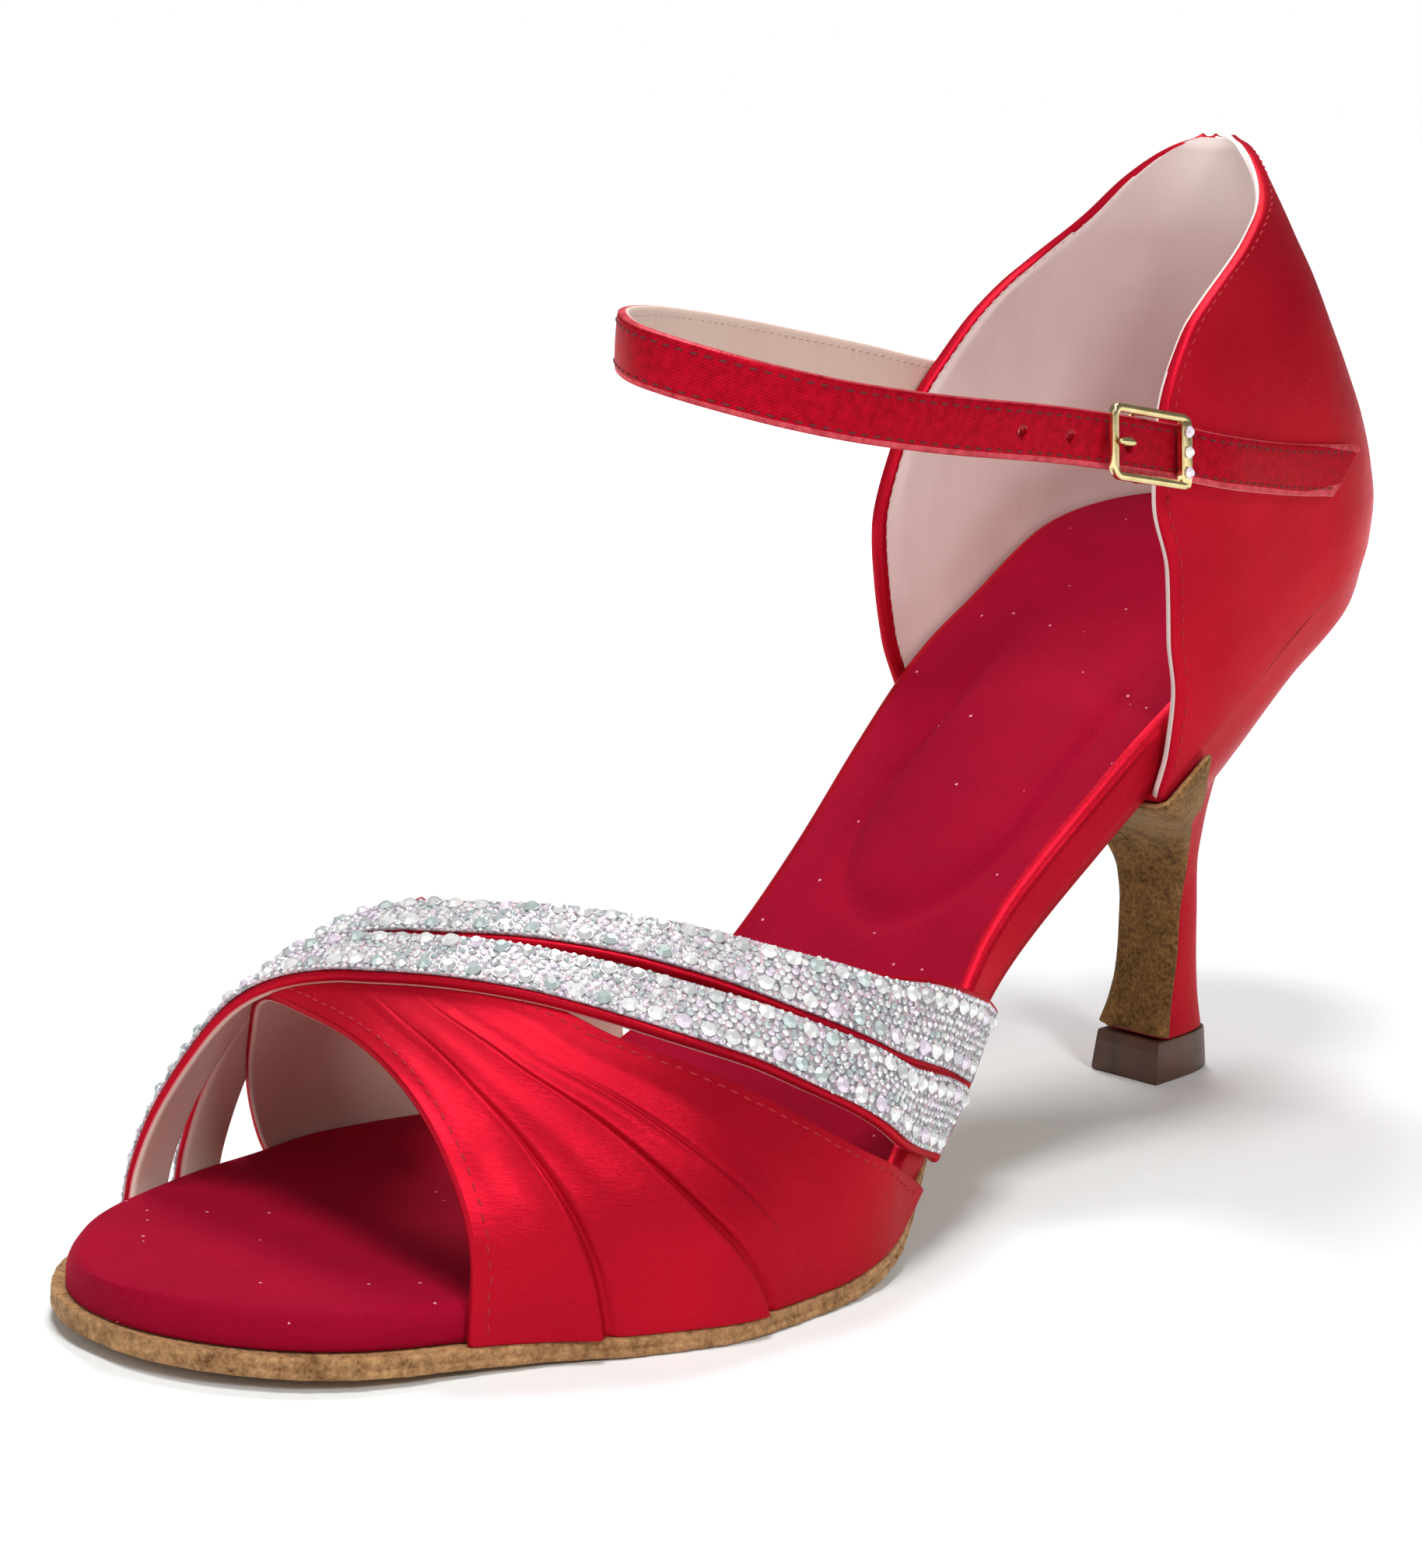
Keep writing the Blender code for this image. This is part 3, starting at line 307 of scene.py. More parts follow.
def liningFinish(name, base, shade):
    made = Finish(name, sheen=0.1, specular=0.35)
    where = made.place("Object")
    grain = made.noise(where, 1300.0, 3.0, 0.6)
    wrinkle = made.noise(made.place("Object", (1.0, 1.0, 0.35)), 95.0, 3.0, 0.5)
    # random clouds of painted shade pull the lining from its base colour towards its shade colour
    shadeCloud = made.noise(where, 38.0, 2.0)
    colour = made.blend((shadeCloud * 1.8 - 0.7).held() * 0.6, tone(*base), tone(*shade))
    soft = made.bump(wrinkle, 0.0014, 0.35)
    return made.finish(colour, 0.62, made.bump(grain, 0.00006, 0.4, soft))


def tipFinish():
    made = Finish("tip", coat=0.15)
    where = made.place("Object")
    flow = made.noise(made.place("Object", (1.0, 1.0, 0.2)), 260.0, 3.0)
    colour = made.blend((flow * 1.6 - 0.3).held(), tone(56, 30, 18), tone(104, 64, 42))
    return made.finish(colour, flow * 0.2 + 0.32, made.bump(made.noise(where, 900.0), 0.00005, 0.3))


def goldFinish():
    made = Finish("gold", metallic=1.0)
    where = made.place("Object")
    wear = made.noise(where, 300.0, 3.0)
    colour = made.blend((wear * 1.5 - 0.25).held(), tone(196, 172, 112), tone(238, 222, 172))
    return made.finish(colour, wear * 0.16 + 0.14, made.bump(made.noise(where, 1800.0), 0.00002, 0.3))


def stoneFinish():
    made = Finish("stones", metallic=0.35, coat=1.0)
    hue = made.node("ShaderNodeAttribute", {"attribute_name": "hue"}).outputs["Fac"]
    share = Signal(made, hue)
    colour = made.blend((share * 1.6).held(), tone(176, 180, 184), tone(244, 244, 242))
    colour = made.blend(share.over(0.80) * 0.6, colour, tone(228, 204, 232))
    colour = made.blend(share.under(0.16) * 0.5, colour, tone(204, 226, 220))
    return made.finish(colour, share * 0.12 + 0.12)


def tapeFinish():
    made = Finish("tape", metallic=0.25)
    where = made.place("Object")
    cells = made.cells(where, 1900.0)
    picked = made.node("ShaderNodeSeparateColor", {}, {0: cells.outputs["Color"]})
    share = Signal(made, picked.outputs[0])
    colour = made.blend(share, tone(122, 118, 126), tone(214, 206, 212))
    colour = made.blend(share.over(0.82) * 0.5, colour, tone(214, 160, 172))
    return made.finish(colour, 0.35, made.bump(Signal(made, cells.outputs["Distance"]), 0.0002, 0.8))


def plainFinish(name, colour, rough):
    made = Finish(name)
    where = made.place("Object")
    grain = made.noise(where, 1200.0)
    return made.finish(made.blend(grain * 0.35, tone(*colour), tone(*[c * 0.7 for c in colour])), rough)


def floorFinish():
    # lit by the lamps near the shoe, and bright by itself further out, so that no horizon shows
    made = Finish("floor", specular=0.1)
    reach = made.node("ShaderNodeVectorMath", {"operation": "LENGTH"}, {0: made.place("Object")})
    far = (Signal(made, reach.outputs["Value"]) - studio["glowFrom"]) * (1 / studio["glowOver"])
    glow = made.blend(far.held(), (0.0, 0.0, 0.0, 1.0), (1.0, 1.0, 1.0, 1.0))
    made.feed(made.shader.inputs["Emission Color"], glow)
    made.shader.inputs["Emission Strength"].default_value = 1.0
    return made.finish(tone(241, 244, 244), 0.9)


satin = satinFinish("satin")
satinBody = satinFinish("satinBody", "Object", 0.5)
strapSatin = twillFinish("strapSatin")
sock = sockFinish()
soleSuede = suedeFinish("soleSuede", (104, 68, 40), (214, 166, 116), 900.0)
breastSuede = suedeFinish("breastSuede", (40, 24, 10), (172, 126, 76), 1500.0)
foldSuede = suedeFinish("foldSuede", (132, 96, 56), (202, 164, 110), 1100.0)
whiteLining = liningFinish("whiteLining", (234, 216, 211), (190, 162, 157))
beigeLining = liningFinish("beigeLining", (224, 200, 186), (196, 166, 152))
tipLook = tipFinish()
gold = goldFinish()
stoneLook = stoneFinish()
tape = tapeFinish()
redThread = plainFinish("redThread", (178, 14, 34), 0.8)
darkThread = plainFinish("darkThread", (92, 16, 24), 0.7)
paleThread = plainFinish("paleThread", (206, 184, 176), 0.7)
paleEdge = plainFinish("paleEdge", (226, 128, 132), 0.6)
floorLook = floorFinish()
print("materials made")


def makeFloor():
    half = studio["floorSize"] / 2
    mesh = bpy.data.meshes.new("floor")
    corners = [(-half, -half, 0), (half, -half, 0), (half, half, 0), (-half, half, 0)]
    mesh.from_pydata(corners, [], [(0, 1, 2, 3)])
    mesh.materials.append(floorLook)
    floor = bpy.data.objects.new("floor", mesh)
    scene.collection.objects.link(floor)


makeFloor()


# The last and its tables
class Table:
    # listed rows, read on a smooth curve that never overshoots them
    def __init__(self, columns, rows):
        names = columns.split()
        values = np.array(rows, float)
        self.key = values[:, 0]
        self.columns = {name: values[:, i] for i, name in enumerate(names) if i}

    def at(self, name, where):
        key, value = self.key, self.columns[name]
        gap = np.diff(key)
        slope = np.diff(value) / gap
        tangent = np.empty(len(key))
        tangent[0], tangent[-1] = slope[0], slope[-1]
        for i in range(1, len(key) - 1):
            a, b = slope[i - 1], slope[i]
            left, right = 2 * gap[i] + gap[i - 1], gap[i] + 2 * gap[i - 1]
            tangent[i] = 0.0 if a * b <= 0 else (left + right) / (left / a + right / b)
        where = np.clip(np.asarray(where, float), key[0], key[-1])
        i = np.clip(np.searchsorted(key, where, side="right") - 1, 0, len(key) - 2)
        t = (where - key[i]) / gap[i]
        return (
            value[i] * (1 + 2 * t) * (1 - t) ** 2
            + tangent[i] * gap[i] * t * (1 - t) ** 2
            + value[i + 1] * t * t * (3 - 2 * t)
            + tangent[i + 1] * gap[i] * t * t * (t - 1)
        )


last = {"length": 0.225, "ball": 0.080, "seat": 0.050, "rise": 0.078, "spring": 0.0019, "setback": 0.0305}
last.update({"heelRound": 0.135, "toeRound": 0.105, "gap": 0.0003, "cupTop": 0.1425, "breast": 0.305})
plan = Table(
    "station middle ball seat",
    [
        (0.00, -0.031, 0.000, 0.460),
        (0.12, -0.026, 0.000, 0.505),
        (0.24, -0.019, 0.000, 0.515),
        (0.34, -0.006, 0.030, 0.420),
        (0.44, 0.011, 0.130, 0.215),
        (0.515, 0.033, 0.255, 0.090),
        (0.595, 0.027, 0.400, 0.000),
        (0.67, -0.019, 0.484, 0.000),
        (0.73, -0.034, 0.499, 0.000),
        (0.785, -0.052, 0.463, 0.000),
        (0.845, -0.078, 0.405, 0.000),
        (0.90, -0.085, 0.352, 0.000),
        (0.95, -0.091, 0.324, 0.000),
        (1.00, -0.113, 0.296, 0.000),
    ],
)
profile = Table(
    "station rise spring",
    [
        (0.00, 1.000, 0.0),
        (0.05, 0.990, 0.0),
        (0.13, 0.943, 0.0),
        (0.226, 0.785, 0.0),
        (0.322, 0.592, 0.0),
        (0.42, 0.375, 0.0),
        (0.516, 0.145, 0.0),
        (0.60, 0.020, 0.0),
        (0.67, 0.000, 0.0),
        (0.78, 0.000, 0.0),
        (0.84, 0.000, 0.24),
        (0.89, 0.000, 0.48),
        (0.94, 0.000, 0.72),
        (1.00, 0.000, 1.0),
    ],
)


def yOf(station):
    return last["setback"] - last["length"] * np.asarray(station, float)


def roundEnd(share):
    share = np.clip(share, 0.0, 1.0)
    return np.sqrt(np.clip(1 - (1 - share) ** 2, 0.0, 1.0))


def planEdges(station):
    station = np.asarray(station, float)
    middle = last["ball"] * plan.at("middle", station)
    half = last["ball"] * plan.at("ball", station) + last["seat"] * plan.at("seat", station)
    half = half * roundEnd(station / last["heelRound"]) * roundEnd((1 - station) / last["toeRound"])
    return middle + half, middle - half


def baseHeight(station):
    lift = last["rise"] * profile.at("rise", station) + last["spring"] * profile.at("spring", station)
    return sole["tread"] + lift


def evenly(points, count):
    points = np.asarray(points, float)
    run = np.r_[0, np.cumsum(np.linalg.norm(np.diff(points, axis=0), axis=1))]
    wanted = np.linspace(0, run[-1], count)
    return np.stack([np.interp(wanted, run, points[:, i]) for i in range(points.shape[1])], axis=1)


def smoothPath(points, count):
    points = np.asarray(points, float)
    padded = np.vstack([2 * points[0] - points[1], points, 2 * points[-1] - points[-2]])
    t = np.linspace(0, 1, 24, endpoint=False)[:, None]
    fine = []
    for a, b, c, d in zip(padded[:-3], padded[1:-2], padded[2:-1], padded[3:]):
        curve = 2 * b + (c - a) * t + (2 * a - 5 * b + 4 * c - d) * t**2 + (3 * b - a - 3 * c + d) * t**3
        fine.append(0.5 * curve)
    return evenly(np.vstack(fine + [points[-1:]]), count)


def endSpaced(low, high, count, lowRound, highRound):
    t = np.linspace(0, 1, count)
    start = 1 - np.cos(np.pi / 2 * t) if lowRound else t
    finish = np.sin(np.pi / 2 * t) if highRound else t
    return low + (high - low) * (start * (1 - t) + finish * t)


def bell(distance, width):
    return np.exp(-((np.asarray(distance, float) / width) ** 2))


def rampUp(value):
    value = np.clip(value, 0.0, 1.0)
    return value * value * (3 - 2 * value)


# Mesh makers
def meshPiece(name, points, faces, materials, zones=None, corners=None, sharp=None):
    mesh = bpy.data.meshes.new(name)
    mesh.from_pydata([tuple(p) for p in points], [], faces)
    for look in materials:
        mesh.materials.append(look)
    if zones is not None:
        mesh.polygons.foreach_set("material_index", np.asarray(zones, np.int32))
    if corners is not None:
        layer = mesh.uv_layers.new(name="surface")
        layer.data.foreach_set("uv", np.asarray(corners, np.float32).ravel())
    work = bmesh.new()
    work.from_mesh(mesh)
    bmesh.ops.remove_doubles(work, verts=work.verts, dist=1e-7)
    bmesh.ops.recalc_face_normals(work, faces=work.faces)
    work.to_mesh(mesh)
    work.free()
    mesh.polygons.foreach_set("use_smooth", np.ones(len(mesh.polygons), bool))
    if sharp:
        mesh.set_sharp_from_angle(angle=math.radians(sharp))
    piece = bpy.data.objects.new(name, mesh)
    scene.collection.objects.link(piece)
    return piece


def gridRun(grid):
    # distances along and across a grid of points, for its UV map
    across, along = np.zeros(grid.shape[:2]), np.zeros(grid.shape[:2])
    across[:, 1:] = np.cumsum(np.linalg.norm(np.diff(grid, axis=1), axis=2), axis=1)
    along[1:] = np.cumsum(np.linalg.norm(np.diff(grid, axis=0), axis=2), axis=0)
    middle = across[:, grid.shape[1] // 2][:, None]
    return np.stack([across - middle, along], axis=2)


def wallPiece(name, outside, inside, materials, swell=0.0004, rim=4, split=None, lap=None):
    # a sheet with a real wall: the first material is outside, the second inside, and they meet on the rim
    # where split says, from the outside (0) to the inside (1), with a third material between, if any;
    # lap says where the first material also covers the inside
    split = split or (lambda i, j: (0.5, 0.5))
    outside, inside = np.asarray(outside, float), np.asarray(inside, float)
    rows, cols = outside.shape[:2]
    run = gridRun(outside)
    index = np.arange(rows * cols).reshape(rows, cols)
    points = [outside.reshape(-1, 3), inside.reshape(-1, 3)]
    spots = [run.reshape(-1, 2), run.reshape(-1, 2)]
    faces, zones = [], []
    for i in range(rows - 1):
        for j in range(cols - 1):
            a, b, c, d = index[i, j], index[i, j + 1], index[i + 1, j + 1], index[i + 1, j]
            faces.append((a, b, c, d))
            zones.append(0)
            faces.append((a + rows * cols, d + rows * cols, c + rows * cols, b + rows * cols))
            zones.append(0 if lap and lap(i, j) else 1)
    loop = [(0, j) for j in range(cols)] + [(i, cols - 1) for i in range(1, rows)]
    loop += [(rows - 1, j) for j in range(cols - 2, -1, -1)] + [(i, 0) for i in range(rows - 2, 0, -1)]
    middle = (outside + inside) / 2
    away = []
    for i, j in loop:
        step = np.zeros(3)
        if i == 0:
            step += unit(middle[0, j] - middle[1, j])
        if i == rows - 1:
            step += unit(middle[-1, j] - middle[-2, j])
        if j == 0:
            step += unit(middle[i, 0] - middle[i, 1])
        if j == cols - 1:
            step += unit(middle[i, -1] - middle[i, -2])
        away.append(unit(step))
    away = np.array(away)
    ring = np.array([index[i, j] for i, j in loop])
    size = len(loop)
    outer, inner = outside.reshape(-1, 3)[ring], inside.reshape(-1, 3)[ring]
    layers = [ring]
    start = 2 * rows * cols
    for k in range(1, rim):
        t = k / rim
        points.append(outer * (1 - t) + inner * t + away * swell * math.sin(math.pi * t) ** 0.7)
        spots.append(run.reshape(-1, 2)[ring] + 0.0007 * t)
        layers.append(np.arange(start, start + size))
        start += size
    layers.append(ring + rows * cols)
    for k in range(rim):
        low, high = layers[k], layers[k + 1]
        for m in range(size):
            n = (m + 1) % size
            faces.append((low[m], high[m], high[n], low[n]))
            first, second = split(*loop[m])
            zones.append(0 if (k + 0.5) / rim < first else 2 if (k + 0.5) / rim < second else 1)
    points, spots = np.vstack(points), np.vstack(spots)
    corners = spots[np.array(faces).ravel()]
    faces = [tuple(int(v) for v in face) for face in faces]
    return meshPiece(name, points, faces, materials, zones, corners)


def loftPiece(name, rings, materials, zone=None, sharp=None):
    # a closed body through rings of matching points; zone gives a face's material from its ring and place
    rings = np.asarray(rings, float)
    rows, size = rings.shape[:2]
    around = np.linalg.norm(np.roll(rings, -1, axis=1) - rings, axis=2)
    across = np.concatenate([np.zeros((rows, 1)), np.cumsum(around, axis=1)], axis=1)
    along = np.concatenate([[0.0], np.cumsum(np.linalg.norm(np.diff(rings, axis=0), axis=2).mean(axis=1))])
    faces, zones, corners = [], [], []
    for i in range(rows - 1):
        for j in range(size):
            k = (j + 1) % size
            faces.append((i * size + j, i * size + k, (i + 1) * size + k, (i + 1) * size + j))
            corners += [(across[i, j], along[i]), (across[i, j + 1], along[i])]
            corners += [(across[i + 1, j + 1], along[i + 1]), (across[i + 1, j], along[i + 1])]
            zones.append(zone(i, j) if zone else 0)
    for end in (0, rows - 1):
        faces.append(tuple(range(end * size, end * size + size)))
        corners += [(0.0, 0.0)] * size
        zones.append(zone(end, 0) if zone else 0)
    return meshPiece(name, rings.reshape(-1, 3), faces, materials, zones, corners, sharp)


def stand(piece, slotName, *nodes):
    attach(piece, "root")
    if nodes:
        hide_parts(*nodes)
    return piece


# Repeats: stitches and stones are Geometry Nodes on guide points that carry where they face and run
def newTree(name, numbers):
    tree = bpy.data.node_groups.new(name, "GeometryNodeTree")
    tree.interface.new_socket(name="Geometry", in_out="INPUT", socket_type="NodeSocketGeometry")
    for label, value in numbers.items():
        kind = "NodeSocketInt" if isinstance(value, int) else "NodeSocketFloat"
        socket = tree.interface.new_socket(name=label, in_out="INPUT", socket_type=kind)
        socket.default_value = value
    tree.interface.new_socket(name="Look", in_out="INPUT", socket_type="NodeSocketMaterial")
    tree.interface.new_socket(name="Geometry", in_out="OUTPUT", socket_type="NodeSocketGeometry")
    return tree


def grow(tree, kind, settings=None, sockets=None):
    made = tree.nodes.new(kind)
    for key, value in (settings or {}).items():
        setattr(made, key, value)
    for key, value in (sockets or {}).items():
        if isinstance(value, bpy.types.NodeSocket):
            tree.links.new(value, made.inputs[key])
        else:
            made.inputs[key].default_value = value
    return made


def stored(tree, name, kind="FLOAT_VECTOR"):
    return grow(tree, "GeometryNodeInputNamedAttribute", {"data_type": kind}, {"Name": name}).outputs[0]


def facingTurn(tree):
    turn = "FunctionNodeAlignRotationToVector"
    first = grow(tree, turn, {"axis": "Z"}, {"Vector": stored(tree, "facing")})
    sockets = {"Rotation": first.outputs[0], "Vector": stored(tree, "running")}
    return grow(tree, turn, {"axis": "X", "pivot_axis": "Z"}, sockets).outputs[0]


def dyed(tree, laid):
    look = next(node for node in tree.nodes if node.bl_idname == "NodeGroupInput").outputs["Look"]
    real = grow(tree, "GeometryNodeRealizeInstances", {}, {"Geometry": laid.outputs[0]})
    coloured = grow(tree, "GeometryNodeSetMaterial", {}, {"Geometry": real.outputs[0], "Material": look})
    grow(tree, "NodeGroupOutput", {}, {0: coloured.outputs[0]})
    return tree


def stitchTree():
    tree = newTree("stitches", {"Length": 0.0012, "Thickness": 0.0002})
    given = grow(tree, "NodeGroupInput").outputs
    ball = grow(tree, "GeometryNodeMeshUVSphere", {}, {"Segments": 6, "Rings": 4, "Radius": 1.0})
    sides = {0: given["Length"], 1: given["Thickness"], 2: given["Thickness"]}
    size = grow(tree, "ShaderNodeCombineXYZ", {}, sides)
    half = grow(tree, "ShaderNodeVectorMath", {"operation": "SCALE"}, {0: size.outputs[0], "Scale": 0.5})
    thread = grow(tree, "GeometryNodeTransform", {}, {"Geometry": ball.outputs[0], "Scale": half.outputs[0]})
    soft = grow(tree, "GeometryNodeSetShadeSmooth", {}, {"Geometry": thread.outputs[0]})
    laid = grow(
        tree,
        "GeometryNodeInstanceOnPoints",
        {},
        {"Points": given["Geometry"], "Instance": soft.outputs[0], "Rotation": facingTurn(tree)},
    )
    return dyed(tree, laid)


def stoneTree():
    tree = newTree("stones", {"Radius": 0.0010, "Height": 0.0006, "Tilt": 0.12, "Seed": 7})
    given = grow(tree, "NodeGroupInput").outputs
    crown = grow(
        tree,
        "GeometryNodeMeshCone",
        {"fill_type": "NGON"},
        {"Vertices": 8, "Radius Top": 0.52, "Radius Bottom": 0.96, "Depth": 0.62},
    )
    girdle = grow(
        tree,
        "GeometryNodeMeshCone",
        {"fill_type": "NGON"},
        {"Vertices": 8, "Radius Top": 1.0, "Radius Bottom": 0.9, "Depth": 0.38},
    )
    raised = {"Geometry": crown.outputs[0], "Translation": (0.0, 0.0, 0.38)}
    upper = grow(tree, "GeometryNodeTransform", {}, raised)
    gem = grow(tree, "GeometryNodeJoinGeometry")
    tree.links.new(upper.outputs[0], gem.inputs[0])
    tree.links.new(girdle.outputs[0], gem.inputs[0])
    sides = {0: given["Radius"], 1: given["Radius"], 2: given["Height"]}
    size = grow(tree, "ShaderNodeCombineXYZ", {}, sides)
    cut = grow(tree, "GeometryNodeTransform", {}, {"Geometry": gem.outputs[0], "Scale": size.outputs[0]})
    laid = grow(
        tree,
        "GeometryNodeInstanceOnPoints",
        {},
        {
            "Points": given["Geometry"],
            "Instance": cut.outputs[0],
            "Rotation": facingTurn(tree),
            "Scale": stored(tree, "size", "FLOAT"),
        },
    )
    down = grow(tree, "ShaderNodeMath", {"operation": "MULTIPLY"}, {0: given["Tilt"], 1: -1.0})
    low = grow(tree, "ShaderNodeCombineXYZ", {}, {0: down.outputs[0], 1: down.outputs[0], 2: -1.5})
    high = grow(tree, "ShaderNodeCombineXYZ", {}, {0: given["Tilt"], 1: given["Tilt"], 2: 1.5})
    turn = grow(
        tree,
        "FunctionNodeRandomValue",
        {"data_type": "FLOAT_VECTOR"},
        {0: low.outputs[0], 1: high.outputs[0], "Seed": given["Seed"]},
    )
    rolled = grow(
        tree, "GeometryNodeRotateInstances", {}, {"Instances": laid.outputs[0], "Rotation": turn.outputs[0]}
    )
    shade = grow(tree, "FunctionNodeRandomValue", {"data_type": "FLOAT"}, {"Seed": given["Seed"]})
    kept = grow(
        tree,
        "GeometryNodeStoreNamedAttribute",
        {"data_type": "FLOAT", "domain": "INSTANCE"},
        {"Geometry": rolled.outputs[0], "Name": "hue", "Value": shade.outputs[1]},
    )
    return dyed(tree, kept)


trees = {"stitches": stitchTree(), "stones": stoneTree()}


def repeatOn(name, kind, places, facing, running, inputs, sizes=None):
    mesh = bpy.data.meshes.new(name + "Guide")
    mesh.from_pydata([tuple(p) for p in places], [], [])
    for label, values in (("facing", facing), ("running", running)):
        layer = mesh.attributes.new(label, "FLOAT_VECTOR", "POINT")
        layer.data.foreach_set("vector", np.asarray(values, np.float32).ravel())
    layer = mesh.attributes.new("size", "FLOAT", "POINT")
    layer.data.foreach_set("value", np.asarray(sizes or [1.0] * len(places), np.float32))
    guide = bpy.data.objects.new(name + "Guide", mesh)
    scene.collection.objects.link(guide)
    modifier = guide.modifiers.new("repeat", "NODES")
    modifier.node_group = trees[kind]
    for item in trees[kind].interface.items_tree:
        if item.in_out == "INPUT" and item.name in inputs:
            modifier[item.identifier] = inputs[item.name]
    bpy.context.view_layer.update()
    result = bpy.data.meshes.new_from_object(guide.evaluated_get(bpy.context.evaluated_depsgraph_get()))
    result.name = name
    bpy.data.objects.remove(guide, do_unlink=True)
    piece = bpy.data.objects.new(name, result)
    scene.collection.objects.link(piece)
    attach(piece, "root")
    return piece


def stitchRow(line, facing, pitch, length, lift=0.0):
    # stitch centres along a line of points, with the way they face and run
    line, facing = np.asarray(line, float), unit(facing)
    total = np.linalg.norm(np.diff(line, axis=0), axis=1).sum()
    count = max(2, int(total / pitch))
    both = evenly(np.hstack([line, facing * 1e-6]), count * 4 + 1)
    fine = both[:, :3]
    running = unit(np.gradient(fine, axis=0))
    picked = np.arange(2, len(fine) - 1, 4)
    normal = unit(both[picked, 3:])
    return fine[picked] + normal * lift, normal, running[picked]


threadLook = {"pitch": 0.0019, "length": 0.0013, "thickness": 0.00030}


def sewn(name, rows, look):
    places, facing, running = [], [], []
    for line, normal in rows:
        a, b, c = stitchRow(line, normal, threadLook["pitch"], threadLook["length"], 0.00002)
        places.append(a)
        facing.append(b)
        running.append(c)
    inputs = {"Length": threadLook["length"], "Thickness": threadLook["thickness"], "Look": look}
    piece = repeatOn(name, "stitches", np.vstack(places), np.vstack(facing), np.vstack(running), inputs)
    return piece


# Outsole: a suede sole in two plies with the last's outline, arch and toe spring
sole = {"tread": 0.003, "waist": 0.0016, "margin": 0.0020, "inset": 0.0012, "stations": 240}
sole.update({"behindBreast": 0.012, "end": 0.9996, "toeFrom": 0.8, "toeOver": 0.2, "uneven": 0.00012})
soleLayers = Table("station tread", [(0.28, 0.0), (0.50, 0.0), (0.59, 1.0), (1.00, 1.0)])


def makeOutsole():
    rings = []
    for station in endSpaced(last["breast"] + sole["behindBreast"], sole["end"], sole["stations"], False, True):
        outer, inner = planEdges(station)
        tread = soleLayers.at("tread", station)
        margin = sole["margin"] * tread - sole["inset"] * (1 - tread)
        thickness = sole["tread"] * tread + sole["waist"] * (1 - tread)
        tip = rampUp((station - sole["toeFrom"]) / sole["toeOver"])
        y = yOf(station) - 0.4 * margin * tip
        high, low = baseHeight(station) - last["gap"], baseHeight(station) - thickness
        wobble = sole["uneven"] * tread * math.sin(station * 410) * math.sin(station * 173 + 1)
        outer, inner = outer + margin + wobble, inner - margin - wobble
        ply, step = low + 0.5 * (high - low), 0.12 * (high - low)
        side = [(2.2 * step, low), (0.7 * step, low + 0.5 * step), (0.0, low + 1.6 * step)]
        side += [(0.0, ply - step), (0.9 * step, ply - 0.1 * step), (0.9 * step, ply + 0.3 * step)]
        side += [(0.2 * step, ply + step), (0.3 * step, high - 0.8 * step), (1.4 * step, high)]
        ring = [(outer - d, y, z) for d, z in side]
        ring += [(outer + (inner - outer) * share, y, high) for share in (0.25, 0.5, 0.75)]
        ring += [(inner + d, y, z) for d, z in reversed(side)]
        ring += [(inner + (outer - inner) * share, y, low) for share in (0.15, 0.3, 0.5, 0.7, 0.85)]
        rings.append(ring)
    return stand(loftPiece("soleLeather", rings, [soleSuede], sharp=50), "suede", "outsole")


makeOutsole()
print("outsole made")

# Insole: a satin-covered edge and a soft sock with a cushion pressed into it
insole = {"toe": 0.0048, "waist": 0.0088, "seat": 0.0065, "round": 0.0020, "toeRound": 0.0038}
insole.update({"stations": 260, "across": 60, "toeFrom": 0.88, "toeOver": 0.08, "satinUntil": 0.62})
insole.update({"start": 0.0004, "end": 0.9996})
cushion = {"front": 0.446, "middle": 0.0010, "length": 0.017, "half": 0.0138, "fade": 0.24}
cushion.update({"rise": 0.0010, "groove": 0.0013, "slope": 0.004, "grooveWidth": 0.0011, "fadeOver": 0.07})
insoleLayers = Table(
    "station seat waist toe",
    [
        (0.00, 1.0, 0.0, 0.0),
        (0.18, 1.0, 0.0, 0.0),
        (0.32, 0.0, 1.0, 0.0),
        (0.52, 0.0, 1.0, 0.0),
        (0.66, 0.0, 0.0, 1.0),
        (1.00, 0.0, 0.0, 1.0),
    ],
)


def insoleThickness(station):
    return sum(insole[name] * insoleLayers.at(name, station) for name in ("seat", "waist", "toe"))


def cushionLift(x, station):
    # signed distance to the cushion's outline, then its soft step and the pressed line round it
    back = (cushion["front"] - station) * last["length"]
    along = np.maximum(cushion["length"] - back, 0.0) / cushion["length"]
    aside = np.abs(x - cushion["middle"]) / cushion["half"]
    reach = np.sqrt(along**2 + aside**2)
    distance = (1 - reach) * cushion["half"] * 0.9
    fade = rampUp((station - cushion["fade"]) / cushion["fadeOver"])
    raised = cushion["rise"] * rampUp(distance / cushion["slope"])
    return fade * (raised - cushion["groove"] * bell(distance, cushion["grooveWidth"]))


